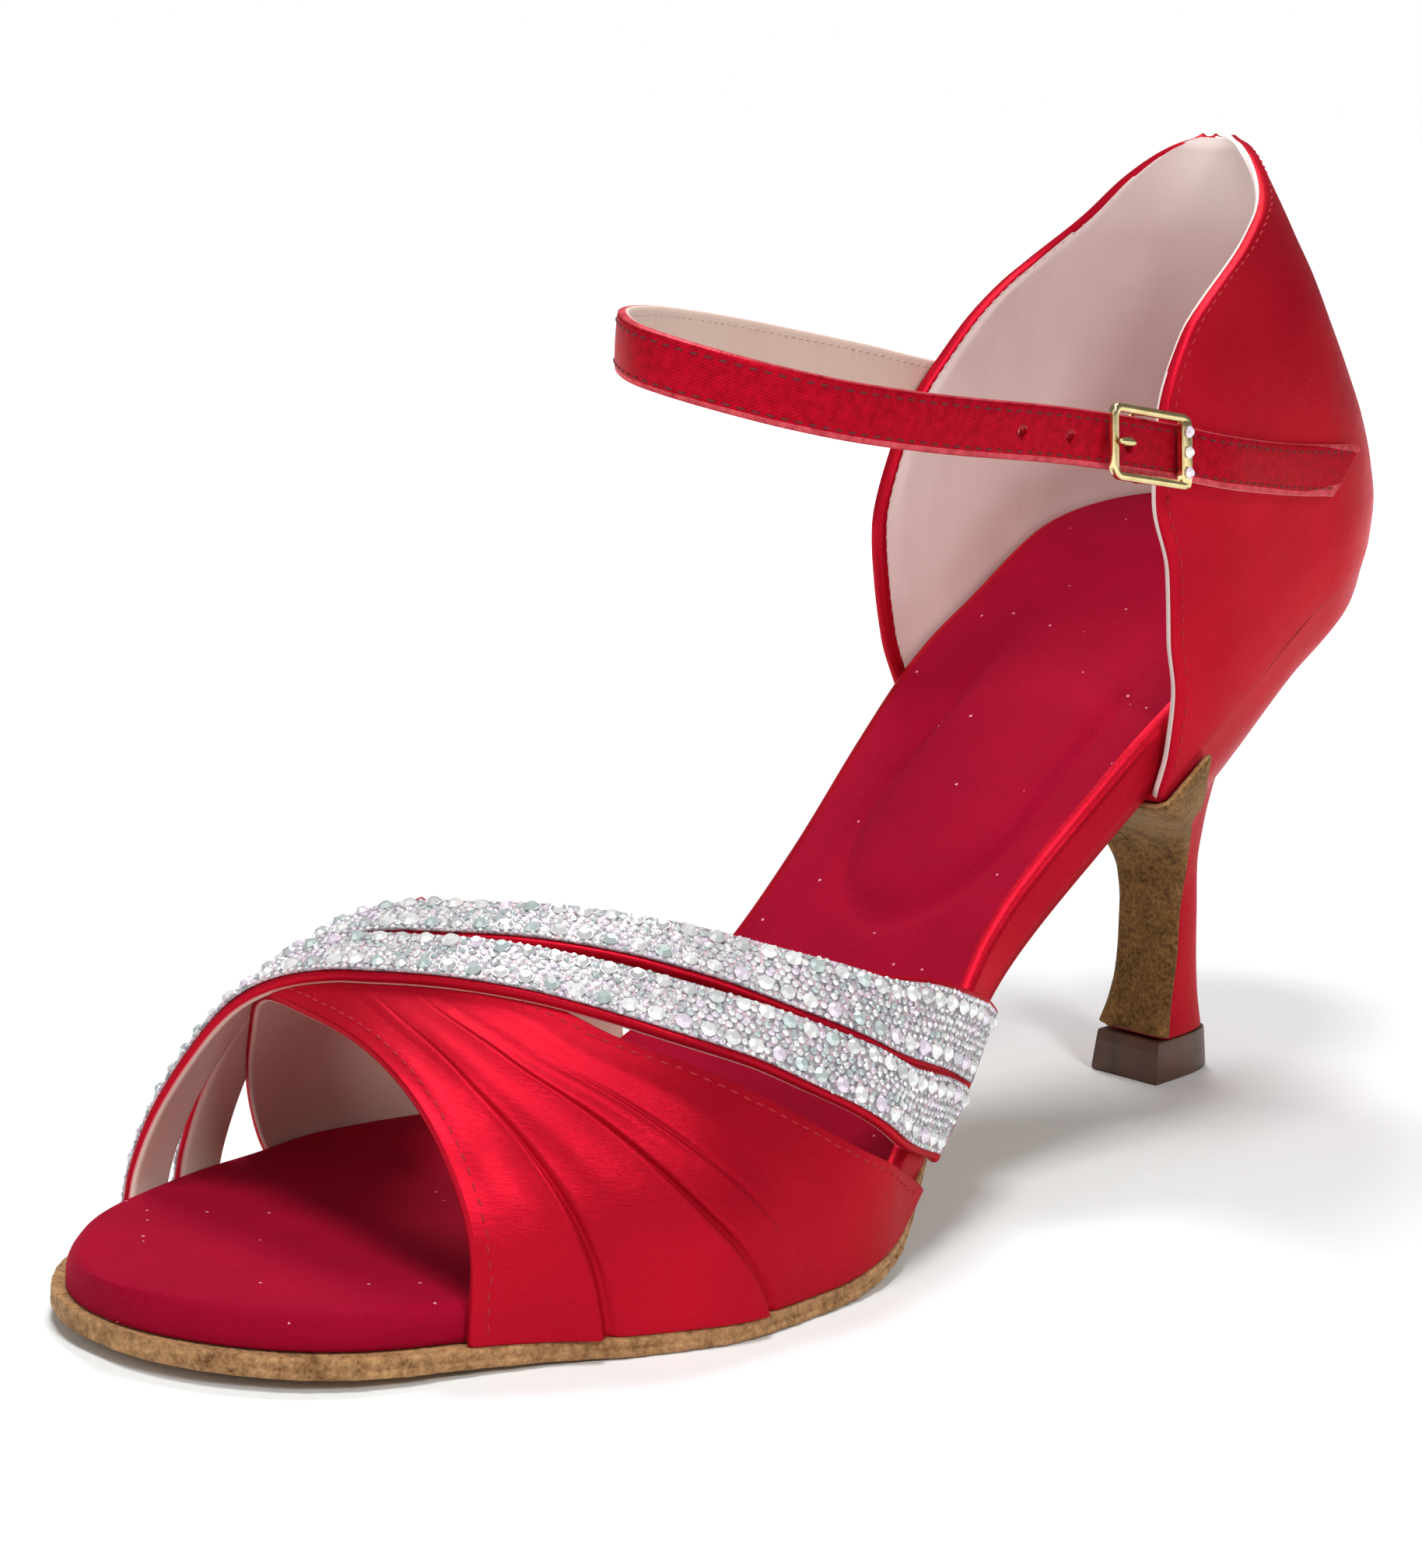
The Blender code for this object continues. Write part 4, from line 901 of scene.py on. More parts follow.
def makeInsole():
    rings = []
    for station in endSpaced(insole["start"], insole["end"], insole["stations"], True, True):
        outer, inner = planEdges(station)
        low, high = baseHeight(station), baseHeight(station) + insoleThickness(station)
        atToe = float(np.clip((station - insole["toeFrom"]) / insole["toeOver"], 0, 1))
        roll = insole["round"] + (insole["toeRound"] - insole["round"]) * atToe
        y, curve = float(yOf(station)), min(roll, 0.3 * (outer - inner))
        side = [(0.0, low + share * (high - curve - low)) for share in (0.0, 0.3, 0.65)]
        angles = np.linspace(0, math.pi / 2, 8)
        side += [(curve * (1 - math.cos(a)), high - curve * (1 - math.sin(a))) for a in angles]
        ring = [(outer - d, y, z) for d, z in side]
        for share in np.linspace(0, 1, insole["across"])[1:-1]:
            x = outer - curve + (inner - outer + 2 * curve) * share
            ring.append((x, y, high + float(cushionLift(x, station))))
        ring += [(inner + d, y, z) for d, z in reversed(side)]
        rings.append(ring)
    deep, size = len(side), len(rings[0])

    def zone(i, j):
        # the edge is satin behind the ball
        inSide = j < deep - 1 or j >= size - deep
        return 1 if inSide and i < insole["stations"] * insole["satinUntil"] else 0

    return stand(loftPiece("insoleSock", rings, [sock, satinBody], zone), "sock", "insole")


makeInsole()
print("insole made")

# Heel cup: a satin outside, a white leather lining and a rolled edge
counter = {"wall": 0.0020, "levels": 90, "around": 150, "puff": 0.0004, "stitchIn": 0.0010}
counter.update({"redOuter": 0.40, "redTop": 0.74, "redFrom": 0.50, "redOver": 0.25, "lap": 0.0005})
counter.update({"swell": 0.0006, "closeRows": 1.25, "lapStops": 4, "narrowest": 0.012})
counter.update({"rim": 10, "flatRows": 6, "flatCols": 5, "leanUntil": 0.34})
# shares of the cup's height at its front edges, how far it leans back and its girth against the sole's
cup = Table(
    "level outer inner lean girth",
    [
        (0.00, 0.302, 0.270, 0.00, 1.00),
        (0.06, 0.297, 0.278, -0.02, 1.03),
        (0.15, 0.296, 0.290, -0.02, 1.05),
        (0.25, 0.302, 0.299, 0.04, 1.05),
        (0.36, 0.304, 0.305, 0.15, 1.04),
        (0.48, 0.316, 0.276, 0.32, 1.02),
        (0.60, 0.308, 0.200, 0.49, 0.98),
        (0.70, 0.272, 0.115, 0.61, 0.92),
        (0.80, 0.163, 0.065, 0.73, 0.83),
        (0.90, 0.084, 0.038, 0.80, 0.69),
        (0.96, 0.042, 0.019, 0.83, 0.58),
        (0.985, 0.021, 0.009, 0.84, 0.52),
        (1.00, 0.004, 0.002, 0.84, 0.48),
    ],
)


def cupLevel(level, lift, count, reach=None):
    runs = []
    for side, column in ((0, "outer"), (1, "inner")):
        station = (reach or cup.at(column, level)) * np.linspace(1, 0, 90) ** 2
        middle = np.mean(planEdges(station), axis=0)
        x = middle + (planEdges(station)[side] - middle) * cup.at("girth", level)
        fade = 1 - np.clip(station / counter["leanUntil"], 0, 1)
        y = yOf(station) - last["setback"] * cup.at("lean", level) * fade
        run = np.stack([x, y, baseHeight(station) * (1 - level) + last["cupTop"] * level], axis=1)
        runs.append(run if side == 0 else run[::-1][1:])
    line = evenly(np.vstack(runs), 400)
    heading = unit(np.gradient(line[:, :2], axis=0))
    line[:, :2] += np.stack([-heading[:, 1], heading[:, 0]], axis=1) * -lift
    return evenly(line, count)


def makeCounter():
    levels = 1 - (1 - np.linspace(0, 1, counter["levels"])) ** counter["closeRows"]
    inside = np.array([cupLevel(v, last["gap"], counter["around"]) for v in levels])
    outside = np.array([cupLevel(v, last["gap"] + counter["wall"], counter["around"]) for v in levels])
    rows, cols = outside.shape[:2]
    # the lining is padded away from the rim
    rowsIn = np.minimum(np.arange(rows), rows - 1 - np.arange(rows))[:, None] / counter["flatRows"]
    colsIn = np.minimum(np.arange(cols), cols - 1 - np.arange(cols))[None, :] / counter["flatCols"]
    puff = counter["puff"] * rampUp(np.minimum(rowsIn, colsIn))[..., None]
    lined = inside + unit(inside - outside) * puff
    run = gridRun(inside)

    def split(i, j):
        # the lining shows as a white strip down the outer side's front edge
        high = rampUp((levels[i] - counter["redFrom"]) / counter["redOver"])
        share = counter["redOuter"] + (counter["redTop"] - counter["redOuter"]) * high
        return (share if j < cols / 2 else 1.0,) * 2

    def lap(i, j):
        # the satin is turned in over the rim of the inner side
        inner = j >= cols / 2 and i < rows - counter["lapStops"]
        return inner and run[i, -1, 0] - run[i, j + 1, 0] < counter["lap"]

    looks = [satin, whiteLining]
    piece = wallPiece("heelCup", outside, lined, looks, counter["swell"], counter["rim"], split, lap)
    stand(piece, "satin", "counter")
    # one row of stitches follows each side of the rim on both faces
    for name, look, face, out in (
        ("heelCupStitchesRed", redThread, outside, 1),
        ("heelCupStitchesPale", paleThread, inside, -1),
    ):
        normal = unit(outside - inside) * out
        spread = gridRun(face)[:, :, 0]
        seams = []
        for edge in (0, -1):
            line, facing = [], []
            for i in range(2, rows - 1):
                across = np.abs(spread[i] - spread[i, edge])
                if across.max() < counter["narrowest"]:
                    break
                nearest = np.argmin(np.abs(across - counter["stitchIn"]))
                k = int(nearest if edge else np.searchsorted(across, counter["stitchIn"]))
                line.append(face[i, k])
                facing.append(normal[i, k])
            seams.append((line, facing))
        sewn(name, seams, look)


makeCounter()
print("heel cup made")

# Heel, the suede on its breast and the tip
heelSizes = {"tipHigh": 0.0066, "tipWide": 0.0125, "tipLong": 0.0165, "cover": 0.0009, "corner": 0.0007}
heelSizes.update({"drops": 120, "around": 160, "coverHigh": 0.012, "coverLow": 0.993})
heelCounts = {"line": 401, "front": 60, "coverRows": 120, "coverAcross": 45}
heelTable = Table(
    "drop backRise frontRise back front half seat wrap",
    [
        (0.00, 1.000, 1.000, 1.000, 1.000, 1.000, 1.00, 0.064),
        (0.06, 0.940, 0.930, 0.950, 0.780, 0.880, 0.75, 0.040),
        (0.13, 0.860, 0.870, 0.620, 0.500, 0.640, 0.40, 0.028),
        (0.21, 0.780, 0.810, 0.270, 0.260, 0.360, 0.12, 0.030),
        (0.30, 0.690, 0.740, 0.065, 0.060, 0.140, 0.00, 0.030),
        (0.40, 0.585, 0.650, -0.040, -0.080, 0.020, 0.00, 0.018),
        (0.50, 0.480, 0.540, -0.120, -0.145, -0.035, 0.00, 0.016),
        (0.60, 0.375, 0.420, -0.165, -0.160, -0.055, 0.00, 0.016),
        (0.70, 0.270, 0.300, -0.140, -0.160, -0.055, 0.00, 0.016),
        (0.80, 0.170, 0.190, -0.112, -0.145, -0.057, 0.00, 0.016),
        (0.90, 0.080, 0.090, -0.080, -0.110, -0.045, 0.00, 0.016),
        (1.00, 0.000, 0.000, -0.035, -0.065, -0.015, 0.00, 0.016),
    ],
)


def dLine(front, back, half, count, squareness=0.6):
    angle = np.linspace(0, np.pi, 361)
    across, along = np.cos(angle), np.sin(angle)
    x = half * np.sign(across) * np.abs(across) ** squareness
    y = front + (back - front) * along ** (squareness + 0.25)
    return evenly(np.stack([x, y], axis=1), count)


def heelLine(drop, count):
    foot = heelSizes["tipHigh"] + last["gap"]
    seat = cupLevel(0.0, last["gap"] + counter["wall"], count, last["breast"])
    seatFront, seatBack = yOf(last["breast"]), last["setback"] + last["gap"] + counter["wall"]
    seatMiddle = (seat[:, 0].max() + seat[:, 0].min()) / 2
    seatHalf = (seat[:, 0].max() - seat[:, 0].min()) / 2
    read = {name: float(heelTable.at(name, drop)) for name in heelTable.columns}
    front = -heelSizes["tipLong"] / 2 * (1 - read["front"]) + seatFront * read["front"]
    back = heelSizes["tipLong"] / 2 * (1 - read["back"]) + seatBack * read["back"]
    half = heelSizes["tipWide"] / 2 * (1 - read["half"]) + seatHalf * read["half"]
    share = np.clip((seat[:, 1] - seatFront) / (seatBack - seatFront), 0, 1)
    aside = (seat[:, 0] - seatMiddle) * half / seatHalf
    fromSeat = np.stack([aside, front + (back - front) * share], axis=1)
    outline = fromSeat * read["seat"] + dLine(front, back, half, count) * (1 - read["seat"])
    outline[:, 0] += seatMiddle * np.clip(read["half"], 0, 1)
    frontTop, backTop = float(baseHeight(last["breast"])), float(baseHeight(0.0))
    low = foot + (frontTop - foot) * read["frontRise"]
    high = foot + (backTop - foot) * read["backRise"]
    along = (outline[:, 1] - front) / (back - front)
    arch = seat[:, 2] - (frontTop + (backTop - frontTop) * share)
    return np.column_stack([outline, low + (high - low) * along + arch * read["seat"]])


def heelRing(drop):
    # the whole section, its front first, with the two front corners a little rounded
    line = heelLine(drop, heelCounts["line"])
    shares = np.linspace(0, 1, heelCounts["front"] + 1)[1:-1]
    front = [line[-1] + (line[0] - line[-1]) * share for share in shares]
    ring = np.vstack([line[::-1][:1], front, line])
    spacing = np.linalg.norm(ring - np.roll(ring, 1, axis=0), axis=1).mean()
    for _ in range(int((heelSizes["corner"] / spacing) ** 2 * 2) + 1):
        ring = (np.roll(ring, 1, axis=0) + 2 * ring + np.roll(ring, -1, axis=0)) / 4
    return ring


def makeHeel():
    rings = []
    for drop in np.linspace(0, 1, heelSizes["drops"]) ** 1.1:
        ring = heelRing(drop)
        rings.append(evenly(np.vstack([ring, ring[:1]]), heelSizes["around"] + 1)[:-1])
    stand(loftPiece("heelSatin", rings, [satinBody], sharp=60), "satin", "heel")


def makeCover():
    rows = []
    for drop in np.linspace(heelSizes["coverHigh"], heelSizes["coverLow"], heelCounts["coverRows"]):
        ring = heelRing(drop)
        wrap = (heelCounts["line"] - 1) * heelTable.at("wrap", drop)
        wanted = np.linspace(heelCounts["front"] + wrap, -wrap, heelCounts["coverAcross"]) % len(ring)
        closed = np.vstack([ring, ring[:1]])
        places = np.arange(len(closed))
        rows.append(np.stack([np.interp(wanted, places, closed[:, i]) for i in range(3)], axis=1))
    face = np.array(rows)
    normal = unit(np.cross(np.gradient(face, axis=0), np.gradient(face, axis=1)))
    normal *= np.sign(-normal[len(rows) // 2, face.shape[1] // 2, 1])
    inside = face + normal * last["gap"]
    outside = inside + normal * heelSizes["cover"]
    looks = [breastSuede, foldSuede]
    piece = wallPiece("breastSuede", outside, inside, looks, 0.00015, 4, lambda i, j: (0.3, 0.3))
    stand(piece, "cover_suede", "heel_cover")


# heights of the tip's rings and their share of its full size
tipRings = [(0.0, 0.955), (0.00015, 0.985), (0.0005, 1.0), (0.0035, 0.965), (0.0062, 0.93), (0.0065, 0.915)]
tipRings.append((0.0066, 0.89))


def makeTip():
    rings = []
    for height, scale in tipRings:
        halfLength = heelSizes["tipLong"] / 2 * scale
        line = dLine(-halfLength, halfLength, heelSizes["tipWide"] / 2 * scale, 80, 0.45)
        rings.append([(x, y, height) for x, y in line])
    stand(loftPiece("heelTip", rings, [tipLook], sharp=35), "tip", "top_piece")


makeHeel()
makeCover()
makeTip()
print("heel made")

# Front upper: the pleated band and two straps over one arch
vamp = {"height": 0.0415, "skew": 0.11, "fullness": 2.25, "innerFullness": 1.68}
bandSizes = {"wall": 0.0014, "pleat": 0.0013, "crease": 0.0006, "fold": 0.016, "around": 170, "along": 200}
bandSizes.update({"stitchIn": 0.0016, "overlap": 0.0002, "creaseWidth": 0.011, "start": 0.02})
# the third pleat shows faintly over one stretch, and the satin gathers into soft waves over another
thirdPleat = {"depth": 0.45, "around": 0.17, "width": 0.08}
gathers = {"height": 0.001, "around": 0.24, "width": 0.13}
strapSizes = {"width": 0.0082, "wall": 0.0016, "around": 220, "across": 16}
strapSizes.update({"ribbon": 0.0073, "tapeWall": 0.00045})
instep = Table(
    "station height",
    [(0.50, 1.22), (0.60, 1.15), (0.70, 1.05), (0.78, 0.94), (0.86, 0.74), (0.94, 0.50), (1.0, 0.34)],
)
band = Table(
    "around front rear pleatA pleatB pleatC fold",
    [
        (0.00, 0.874, 0.555, 0.20, 0.482, 0.60, 1.0),
        (0.05, 0.873, 0.594, 0.21, 0.482, 0.60, 1.0),
        (0.10, 0.871, 0.640, 0.22, 0.481, 0.61, 1.0),
        (0.20, 0.868, 0.716, 0.24, 0.495, 0.63, 0.8),
        (0.30, 0.863, 0.767, 0.26, 0.505, 0.65, 0.5),
        (0.40, 0.858, 0.783, 0.28, 0.500, 0.66, 0.1),
        (0.50, 0.853, 0.760, 0.28, 0.500, 0.66, 0.0),
        (0.65, 0.835, 0.712, 0.28, 0.500, 0.66, 0.0),
        (0.75, 0.815, 0.655, 0.28, 0.500, 0.66, 0.2),
        (0.84, 0.796, 0.572, 0.28, 0.500, 0.66, 0.6),
        (0.92, 0.777, 0.548, 0.28, 0.500, 0.66, 0.7),
        (1.00, 0.757, 0.545, 0.28, 0.500, 0.66, 0.8),
    ],
)
straps = Table(
    "around first second width over",
    [
        (0.00, 0.513, 0.470, 1.00, 0.0),
        (0.08, 0.572, 0.521, 1.00, 0.0),
        (0.14, 0.615, 0.560, 1.00, 0.1),
        (0.20, 0.662, 0.602, 1.00, 0.4),
        (0.28, 0.722, 0.659, 1.00, 0.8),
        (0.34, 0.755, 0.697, 1.00, 1.0),
        (0.42, 0.786, 0.737, 1.00, 1.0),
        (0.50, 0.808, 0.768, 1.00, 1.0),
        (0.60, 0.826, 0.789, 1.00, 1.0),
        (0.75, 0.845, 0.806, 0.98, 1.0),
        (0.90, 0.867, 0.820, 0.88, 0.3),
        (1.00, 0.880, 0.832, 0.74, 0.0),
    ],
)


def archPoint(station, around):
    station, around = np.broadcast_arrays(np.asarray(station, float), np.asarray(around, float))
    outer, inner = planEdges(station)
    middle, half = (outer + inner) / 2, (outer - inner) / 2 + last["gap"]
    angle = np.pi * np.clip(around, 0.0, 1.0)
    height, straight = vamp["height"] * instep.at("height", station), insoleThickness(station)
    fullness = vamp["fullness"] + (vamp["innerFullness"] - vamp["fullness"]) * rampUp((around - 0.5) / 0.3)
    rise = height * np.abs(np.sin(angle)) ** (2 / fullness)
    share = np.clip((rise - straight) / (height - straight), 0.0, 1.0)
    reach = (1 - share**fullness) ** (1 / fullness)
    x = middle + half * np.sign(np.cos(angle)) * reach - vamp["skew"] * half * share**2
    return np.stack([x, yOf(station), baseHeight(station) + rise], axis=-1)


def archNormal(station, around):
    step = 0.006
    low, high = np.clip(around - step, 0, 1), np.clip(around + step, 0, 1)
    over = archPoint(station, high) - archPoint(station, low)
    along = archPoint(station + step, around) - archPoint(station - step, around)
    return unit(np.cross(over, along))


def roundFoot(low, high, count):
    t = np.linspace(0, 1, count)
    return low + (high - low) * (0.45 * t + 0.55 * (0.5 - 0.5 * np.cos(np.pi * t)))


def strapEdges(column, around, width):
    centre = straps.at(column, around)
    step = 0.01
    ahead, behind = np.clip(around + step, 0, 1), np.clip(around - step, 0, 1)
    over = np.linalg.norm(archPoint(centre, ahead) - archPoint(centre, behind), axis=-1)
    along = last["length"] * (straps.at(column, ahead) - straps.at(column, behind))
    reach = width / 2 * straps.at("width", around) * np.sqrt(1 + (along / over) ** 2) / last["length"]
    return centre + reach, centre - reach


def strapLift(around):
    return straps.at("over", around) * (bandSizes["wall"] - bandSizes["overlap"])


# place across the band, share of the waves' height and width of each
bandWaves = [(0.10, 0.25, 0.05), (0.36, 0.30, 0.05), (0.60, -0.30, 0.04), (0.78, 0.25, 0.06)]


def bandLift(share, around):
    # height of the satin over the band's plain surface: three laid pleats and soft waves where they gather
    strength = float(band.at("fold", around))
    lift = np.zeros_like(share)
    start = bandSizes["start"]
    faint = thirdPleat["depth"] * float(bell(around - thirdPleat["around"], thirdPleat["width"]))
    for name, depth in (("pleatA", 1.0), ("pleatB", 1.0), ("pleatC", faint)):
        place = float(band.at(name, around))
        ramp = np.clip((share - start) / (place - start), 0, 1) ** 2
        drop = rampUp((share - place) / bandSizes["fold"])
        lift += bandSizes["pleat"] * depth * strength * ramp * (1 - drop) * (share > start)
        crease = bell(share - place - bandSizes["fold"], bandSizes["creaseWidth"])
        lift -= bandSizes["crease"] * depth * strength * crease
        start = place + bandSizes["fold"]
    gather = float(bell(around - gathers["around"], gathers["width"]))
    for place, depth, width in bandWaves:
        lift += gathers["height"] * depth * gather * bell(share - place, width)
    return lift


edgedLooks = [satin, beigeLining, paleEdge]


def edged(i, j):
    # a pale cut edge shows between the satin and the lining
    return (0.60, 0.78)


def makeBand():
    around = roundFoot(0.0, 1.0, bandSizes["around"])
    front, rear = band.at("front", around), band.at("rear", around)
    share = np.linspace(0, 1, bandSizes["along"])
    inside, outside = [], []
    for i, a in enumerate(around):
        station = front[i] + (rear[i] - front[i]) * share
        normal = archNormal(station, a)
        base = archPoint(station, a)
        inside.append(base)
        outside.append(base + normal * (bandSizes["wall"] + bandLift(share, a))[:, None])
    inside, outside = np.array(inside), np.array(outside)
    stand(wallPiece("pleatedBand", outside, inside, edgedLooks, 0.0004, 8, edged), "satin", "upper")
    rows = []
    for edge in (0, -1):
        line, facing = [], []
        for i in range(3, int(bandSizes["around"] * 0.97)):
            run = np.linalg.norm(outside[i] - outside[i, edge], axis=1)
            order = np.arange(len(run)) if edge == 0 else np.arange(len(run))[::-1]
            k = next(int(m) for m in order if run[m] >= bandSizes["stitchIn"])
            line.append(outside[i, k])
            facing.append(outside[i, k] - inside[i, k])
        rows.append((line, facing))
    sewn("bandStitches", rows, redThread)


def strapGrid(column, around, width, lift, count):
    front, rear = strapEdges(column, around, width)
    rows = []
    for i, a in enumerate(around):
        station = front[i] + (rear[i] - front[i]) * np.linspace(0, 1, count)
        rows.append(archPoint(station, a) + archNormal(station, a) * np.reshape(lift[i], (-1, 1)))
    return np.array(rows)


def makeStrap(column, label):
    around = roundFoot(0.0, 1.0, strapSizes["around"])
    lift = strapLift(around)
    inside = strapGrid(column, around, strapSizes["width"], lift, strapSizes["across"])
    lifted = lift + strapSizes["wall"]
    outside = strapGrid(column, around, strapSizes["width"], lifted, strapSizes["across"])
    stand(wallPiece("strap" + label, outside, inside, edgedLooks, 0.0004, 8, edged), "satin")
    around = roundFoot(0.006, 0.994, strapSizes["around"])
    lift = strapLift(around) + strapSizes["wall"] + ribbonGap
    low = strapGrid(column, around, strapSizes["ribbon"], lift, 8)
    high = strapGrid(column, around, strapSizes["ribbon"], lift + strapSizes["tapeWall"], 8)
    node = "trim_front" if column == "first" else "trim_rear"
    stand(wallPiece("ribbon" + label, high, low, [tape, tape], 0.0001, 3), "stones", node)


# offsets are shares of the ribbon's half width, sizes of the stones' radius
ribbonGap = 0.0001
stones = {"sunk": 0.00005, "step": 0.004, "from": 0.010, "to": 0.990, "spots": 1600}
stones.update({"loose": 0.00005, "looseAcross": 0.02, "smallest": 0.92, "largest": 1.08})
stoneRows = {
    "large": {"offsets": (-0.66, 0.66), "pitch": 0.0032, "size": 1.12, "start": 0.1},
    "medium": {"offsets": (-0.66, 0.66), "pitch": 0.0032, "size": 0.50, "start": 0.6},
    "inner": {"offsets": (-0.22, 0.22), "pitch": 0.00125, "size": 0.50, "start": 0.3},
    "middle": {"offsets": (0.0,), "pitch": 0.00125, "size": 0.44, "start": 0.1},
    "outer": {"offsets": (-0.42, 0.42), "pitch": 0.00125, "size": 0.36, "start": 0.1},
    "edge": {"offsets": (-0.93, 0.93), "pitch": 0.00110, "size": 0.36, "start": 0.2},
}


def makeStones(column, label):
    rng = np.random.default_rng(11 if column == "first" else 12)
    around = np.linspace(stones["from"], stones["to"], stones["spots"])
    front, rear = strapEdges(column, around, strapSizes["ribbon"])
    lift = strapLift(around) + strapSizes["wall"] + ribbonGap + strapSizes["tapeWall"]
    centre = archPoint((front + rear) / 2, around)
    run = np.r_[0, np.cumsum(np.linalg.norm(np.diff(centre, axis=0), axis=1))]
    places, facing, running, sizes = [], [], [], []
    for row in stoneRows.values():
        for number, offset in enumerate(row["offsets"]):
            shift = row["pitch"] * (0.5 * number + row["start"])
            for where in np.arange(shift, run[-1], row["pitch"]):
                where = where + rng.normal(0, stones["loose"])
                a = float(np.interp(where, run, around))
                f, r = np.interp(a, around, front), np.interp(a, around, rear)
                station = (f + r) / 2 + (f - r) / 2 * (offset + rng.normal(0, stones["looseAcross"]))
                normal = archNormal(station, a)
                places.append(archPoint(station, a) + normal * (np.interp(a, around, lift) - stones["sunk"]))
                facing.append(normal)
                ahead, behind = min(a + stones["step"], 1), max(a - stones["step"], 0)
                running.append(archPoint(station, ahead) - archPoint(station, behind))
                sizes.append(row["size"] * rng.uniform(stones["smallest"], stones["largest"]))
    inputs = {"Radius": 0.0010, "Height": 0.00075, "Tilt": 0.10, "Seed": 5, "Look": stoneLook}
    piece = repeatOn("stones" + label, "stones", places, facing, unit(running), inputs, sizes)


makeBand()
for column, label in (("first", "Front"), ("second", "Rear")):
    makeStrap(column, label)
    makeStones(column, label)
print("front upper made")

# Ankle strap, its tab and the buckle
ankleSizes = {"width": 0.0072, "wall": 0.0015, "hole": 0.0009, "along": 420}
ankleSizes.update({"tabWall": 0.0009, "tabWidth": 0.0064})
ankleSizes.update({"buckleAt": 0.358, "stitchIn": 0.0010, "lay": 1.4, "pinHole": 0.0011, "pinAt": -0.0033})
holeStations = (0.424, 0.464)
ankle = Table(
    "step aside station rise lean",
    [
        (0, -0.570, 0.318, 0.757, 0.05),
        (1, -0.530, 0.393, 0.777, 0.05),
        (2, -0.460, 0.478, 0.798, 0.05),
        (3, -0.330, 0.567, 0.815, 0.05),
        (4, -0.150, 0.633, 0.821, 0.05),
        (5, 0.010, 0.662, 0.815, 0.05),
        (6, 0.150, 0.666, 0.807, 0.03),
        (7, 0.270, 0.651, 0.795, 0.00),
        (8, 0.370, 0.622, 0.781, 0.00),
        (9, 0.440, 0.580, 0.767, 0.00),
        (10, 0.490, 0.518, 0.753, 0.00),
        (11, 0.526, 0.438, 0.739, 0.00),
        (12, 0.545, 0.376, 0.725, -0.05),
    ],
)
laidInner = Table("station rise", [(0.20, 0.729), (0.262, 0.745)])
laidOuter = Table("station rise", [(0.125, 0.672), (0.20, 0.684), (0.27, 0.699), (0.31, 0.710)])


def cupPoint(side, station, height, lift):
    def spot(where):
        base = float(baseHeight(where))
        level = (height - base) / (last["cupTop"] - base)
        middle = float(np.mean(planEdges(where)))
        x = middle + (float(planEdges(where)[side]) - middle) * float(cup.at("girth", level))
        fade = 1 - min(max(where / counter["leanUntil"], 0), 1)
        return np.array([x, float(yOf(where)) - last["setback"] * float(cup.at("lean", level)) * fade])

    here, heading = spot(station), unit(spot(station - 0.004) - spot(station + 0.004))
    outward = np.array([heading[1], -heading[0]]) * (1 if side == 0 else -1)
    return np.array([*(here + outward * lift), height])


def laidEdges(side, lowStation, highStation, lift, width):
    rise = laidOuter if side == 0 else laidInner
    lowHeight = last["cupTop"] * float(rise.at("rise", lowStation)) - width / 2
    highHeight = last["cupTop"] * float(rise.at("rise", highStation)) + width / 2
    return np.r_[cupPoint(side, lowStation, lowHeight, lift), cupPoint(side, highStation, highHeight, lift)]


def freeEdges(step, width):
    x, y = last["seat"] * ankle.at("aside", step), yOf(ankle.at("station", step))
    z, lean = last["cupTop"] * ankle.at("rise", step), ankle.at("lean", step) * width
    return np.array([x - lean / 2, y, z - width / 2, x + lean / 2, y, z + width / 2])


def anklePath(count):
    gap, width = last["gap"], ankleSizes["width"]
    onCup = gap + counter["wall"] + gap * ankleSizes["lay"]
    overTab = onCup + ankleSizes["tabWall"] + gap * 2
    rows = [laidEdges(1, station, station, onCup, width) for station in (0.205, 0.235, 0.262)]
    rows += [freeEdges(step, width) for step in range(13)]
    rows += [laidEdges(0, 0.305, 0.305, overTab, width), laidEdges(0, 0.265, 0.265, overTab, width)]
    rows += [laidEdges(0, 0.225, 0.223, onCup + 0.4 * (overTab - onCup), width)]
    rows += [laidEdges(0, 0.185, 0.175, onCup, width), laidEdges(0, 0.150, 0.108, onCup, width)]
    path = smoothPath(rows, count)
    return path[:, :3], path[:, 3:]


def outwardOf(low, high):
    centre = (low + high) / 2
    normal = unit(np.cross(np.gradient(centre, axis=0), high - low))
    fromMiddle = centre - np.array([0.0, float(yOf(0.30)), 0.0])
    fromMiddle[:, 2] = 0
    return normal * np.sign((normal * fromMiddle).sum(axis=1))[:, None]


def ankleFrame(station):
    # the spot on the strap's outer run at a station: its centre and the ways it runs, rises and faces
    fine, outerFrom = 900, 500
    low, high = anklePath(fine)
    outward = outwardOf(low, high)
    centre = (low + high) / 2
    ahead = np.where(np.arange(fine) > outerFrom, np.abs(centre[:, 1] - yOf(station)), 1.0)
    i = int(np.argmin(ahead))
    return centre[i], unit(centre[i + 3] - centre[i - 3]), unit(high[i] - low[i]), outward[i]


def inFrame(spot, along, up, out):
    centre, run, rise, outward = spot
    return centre + run * along + rise * up + outward * out


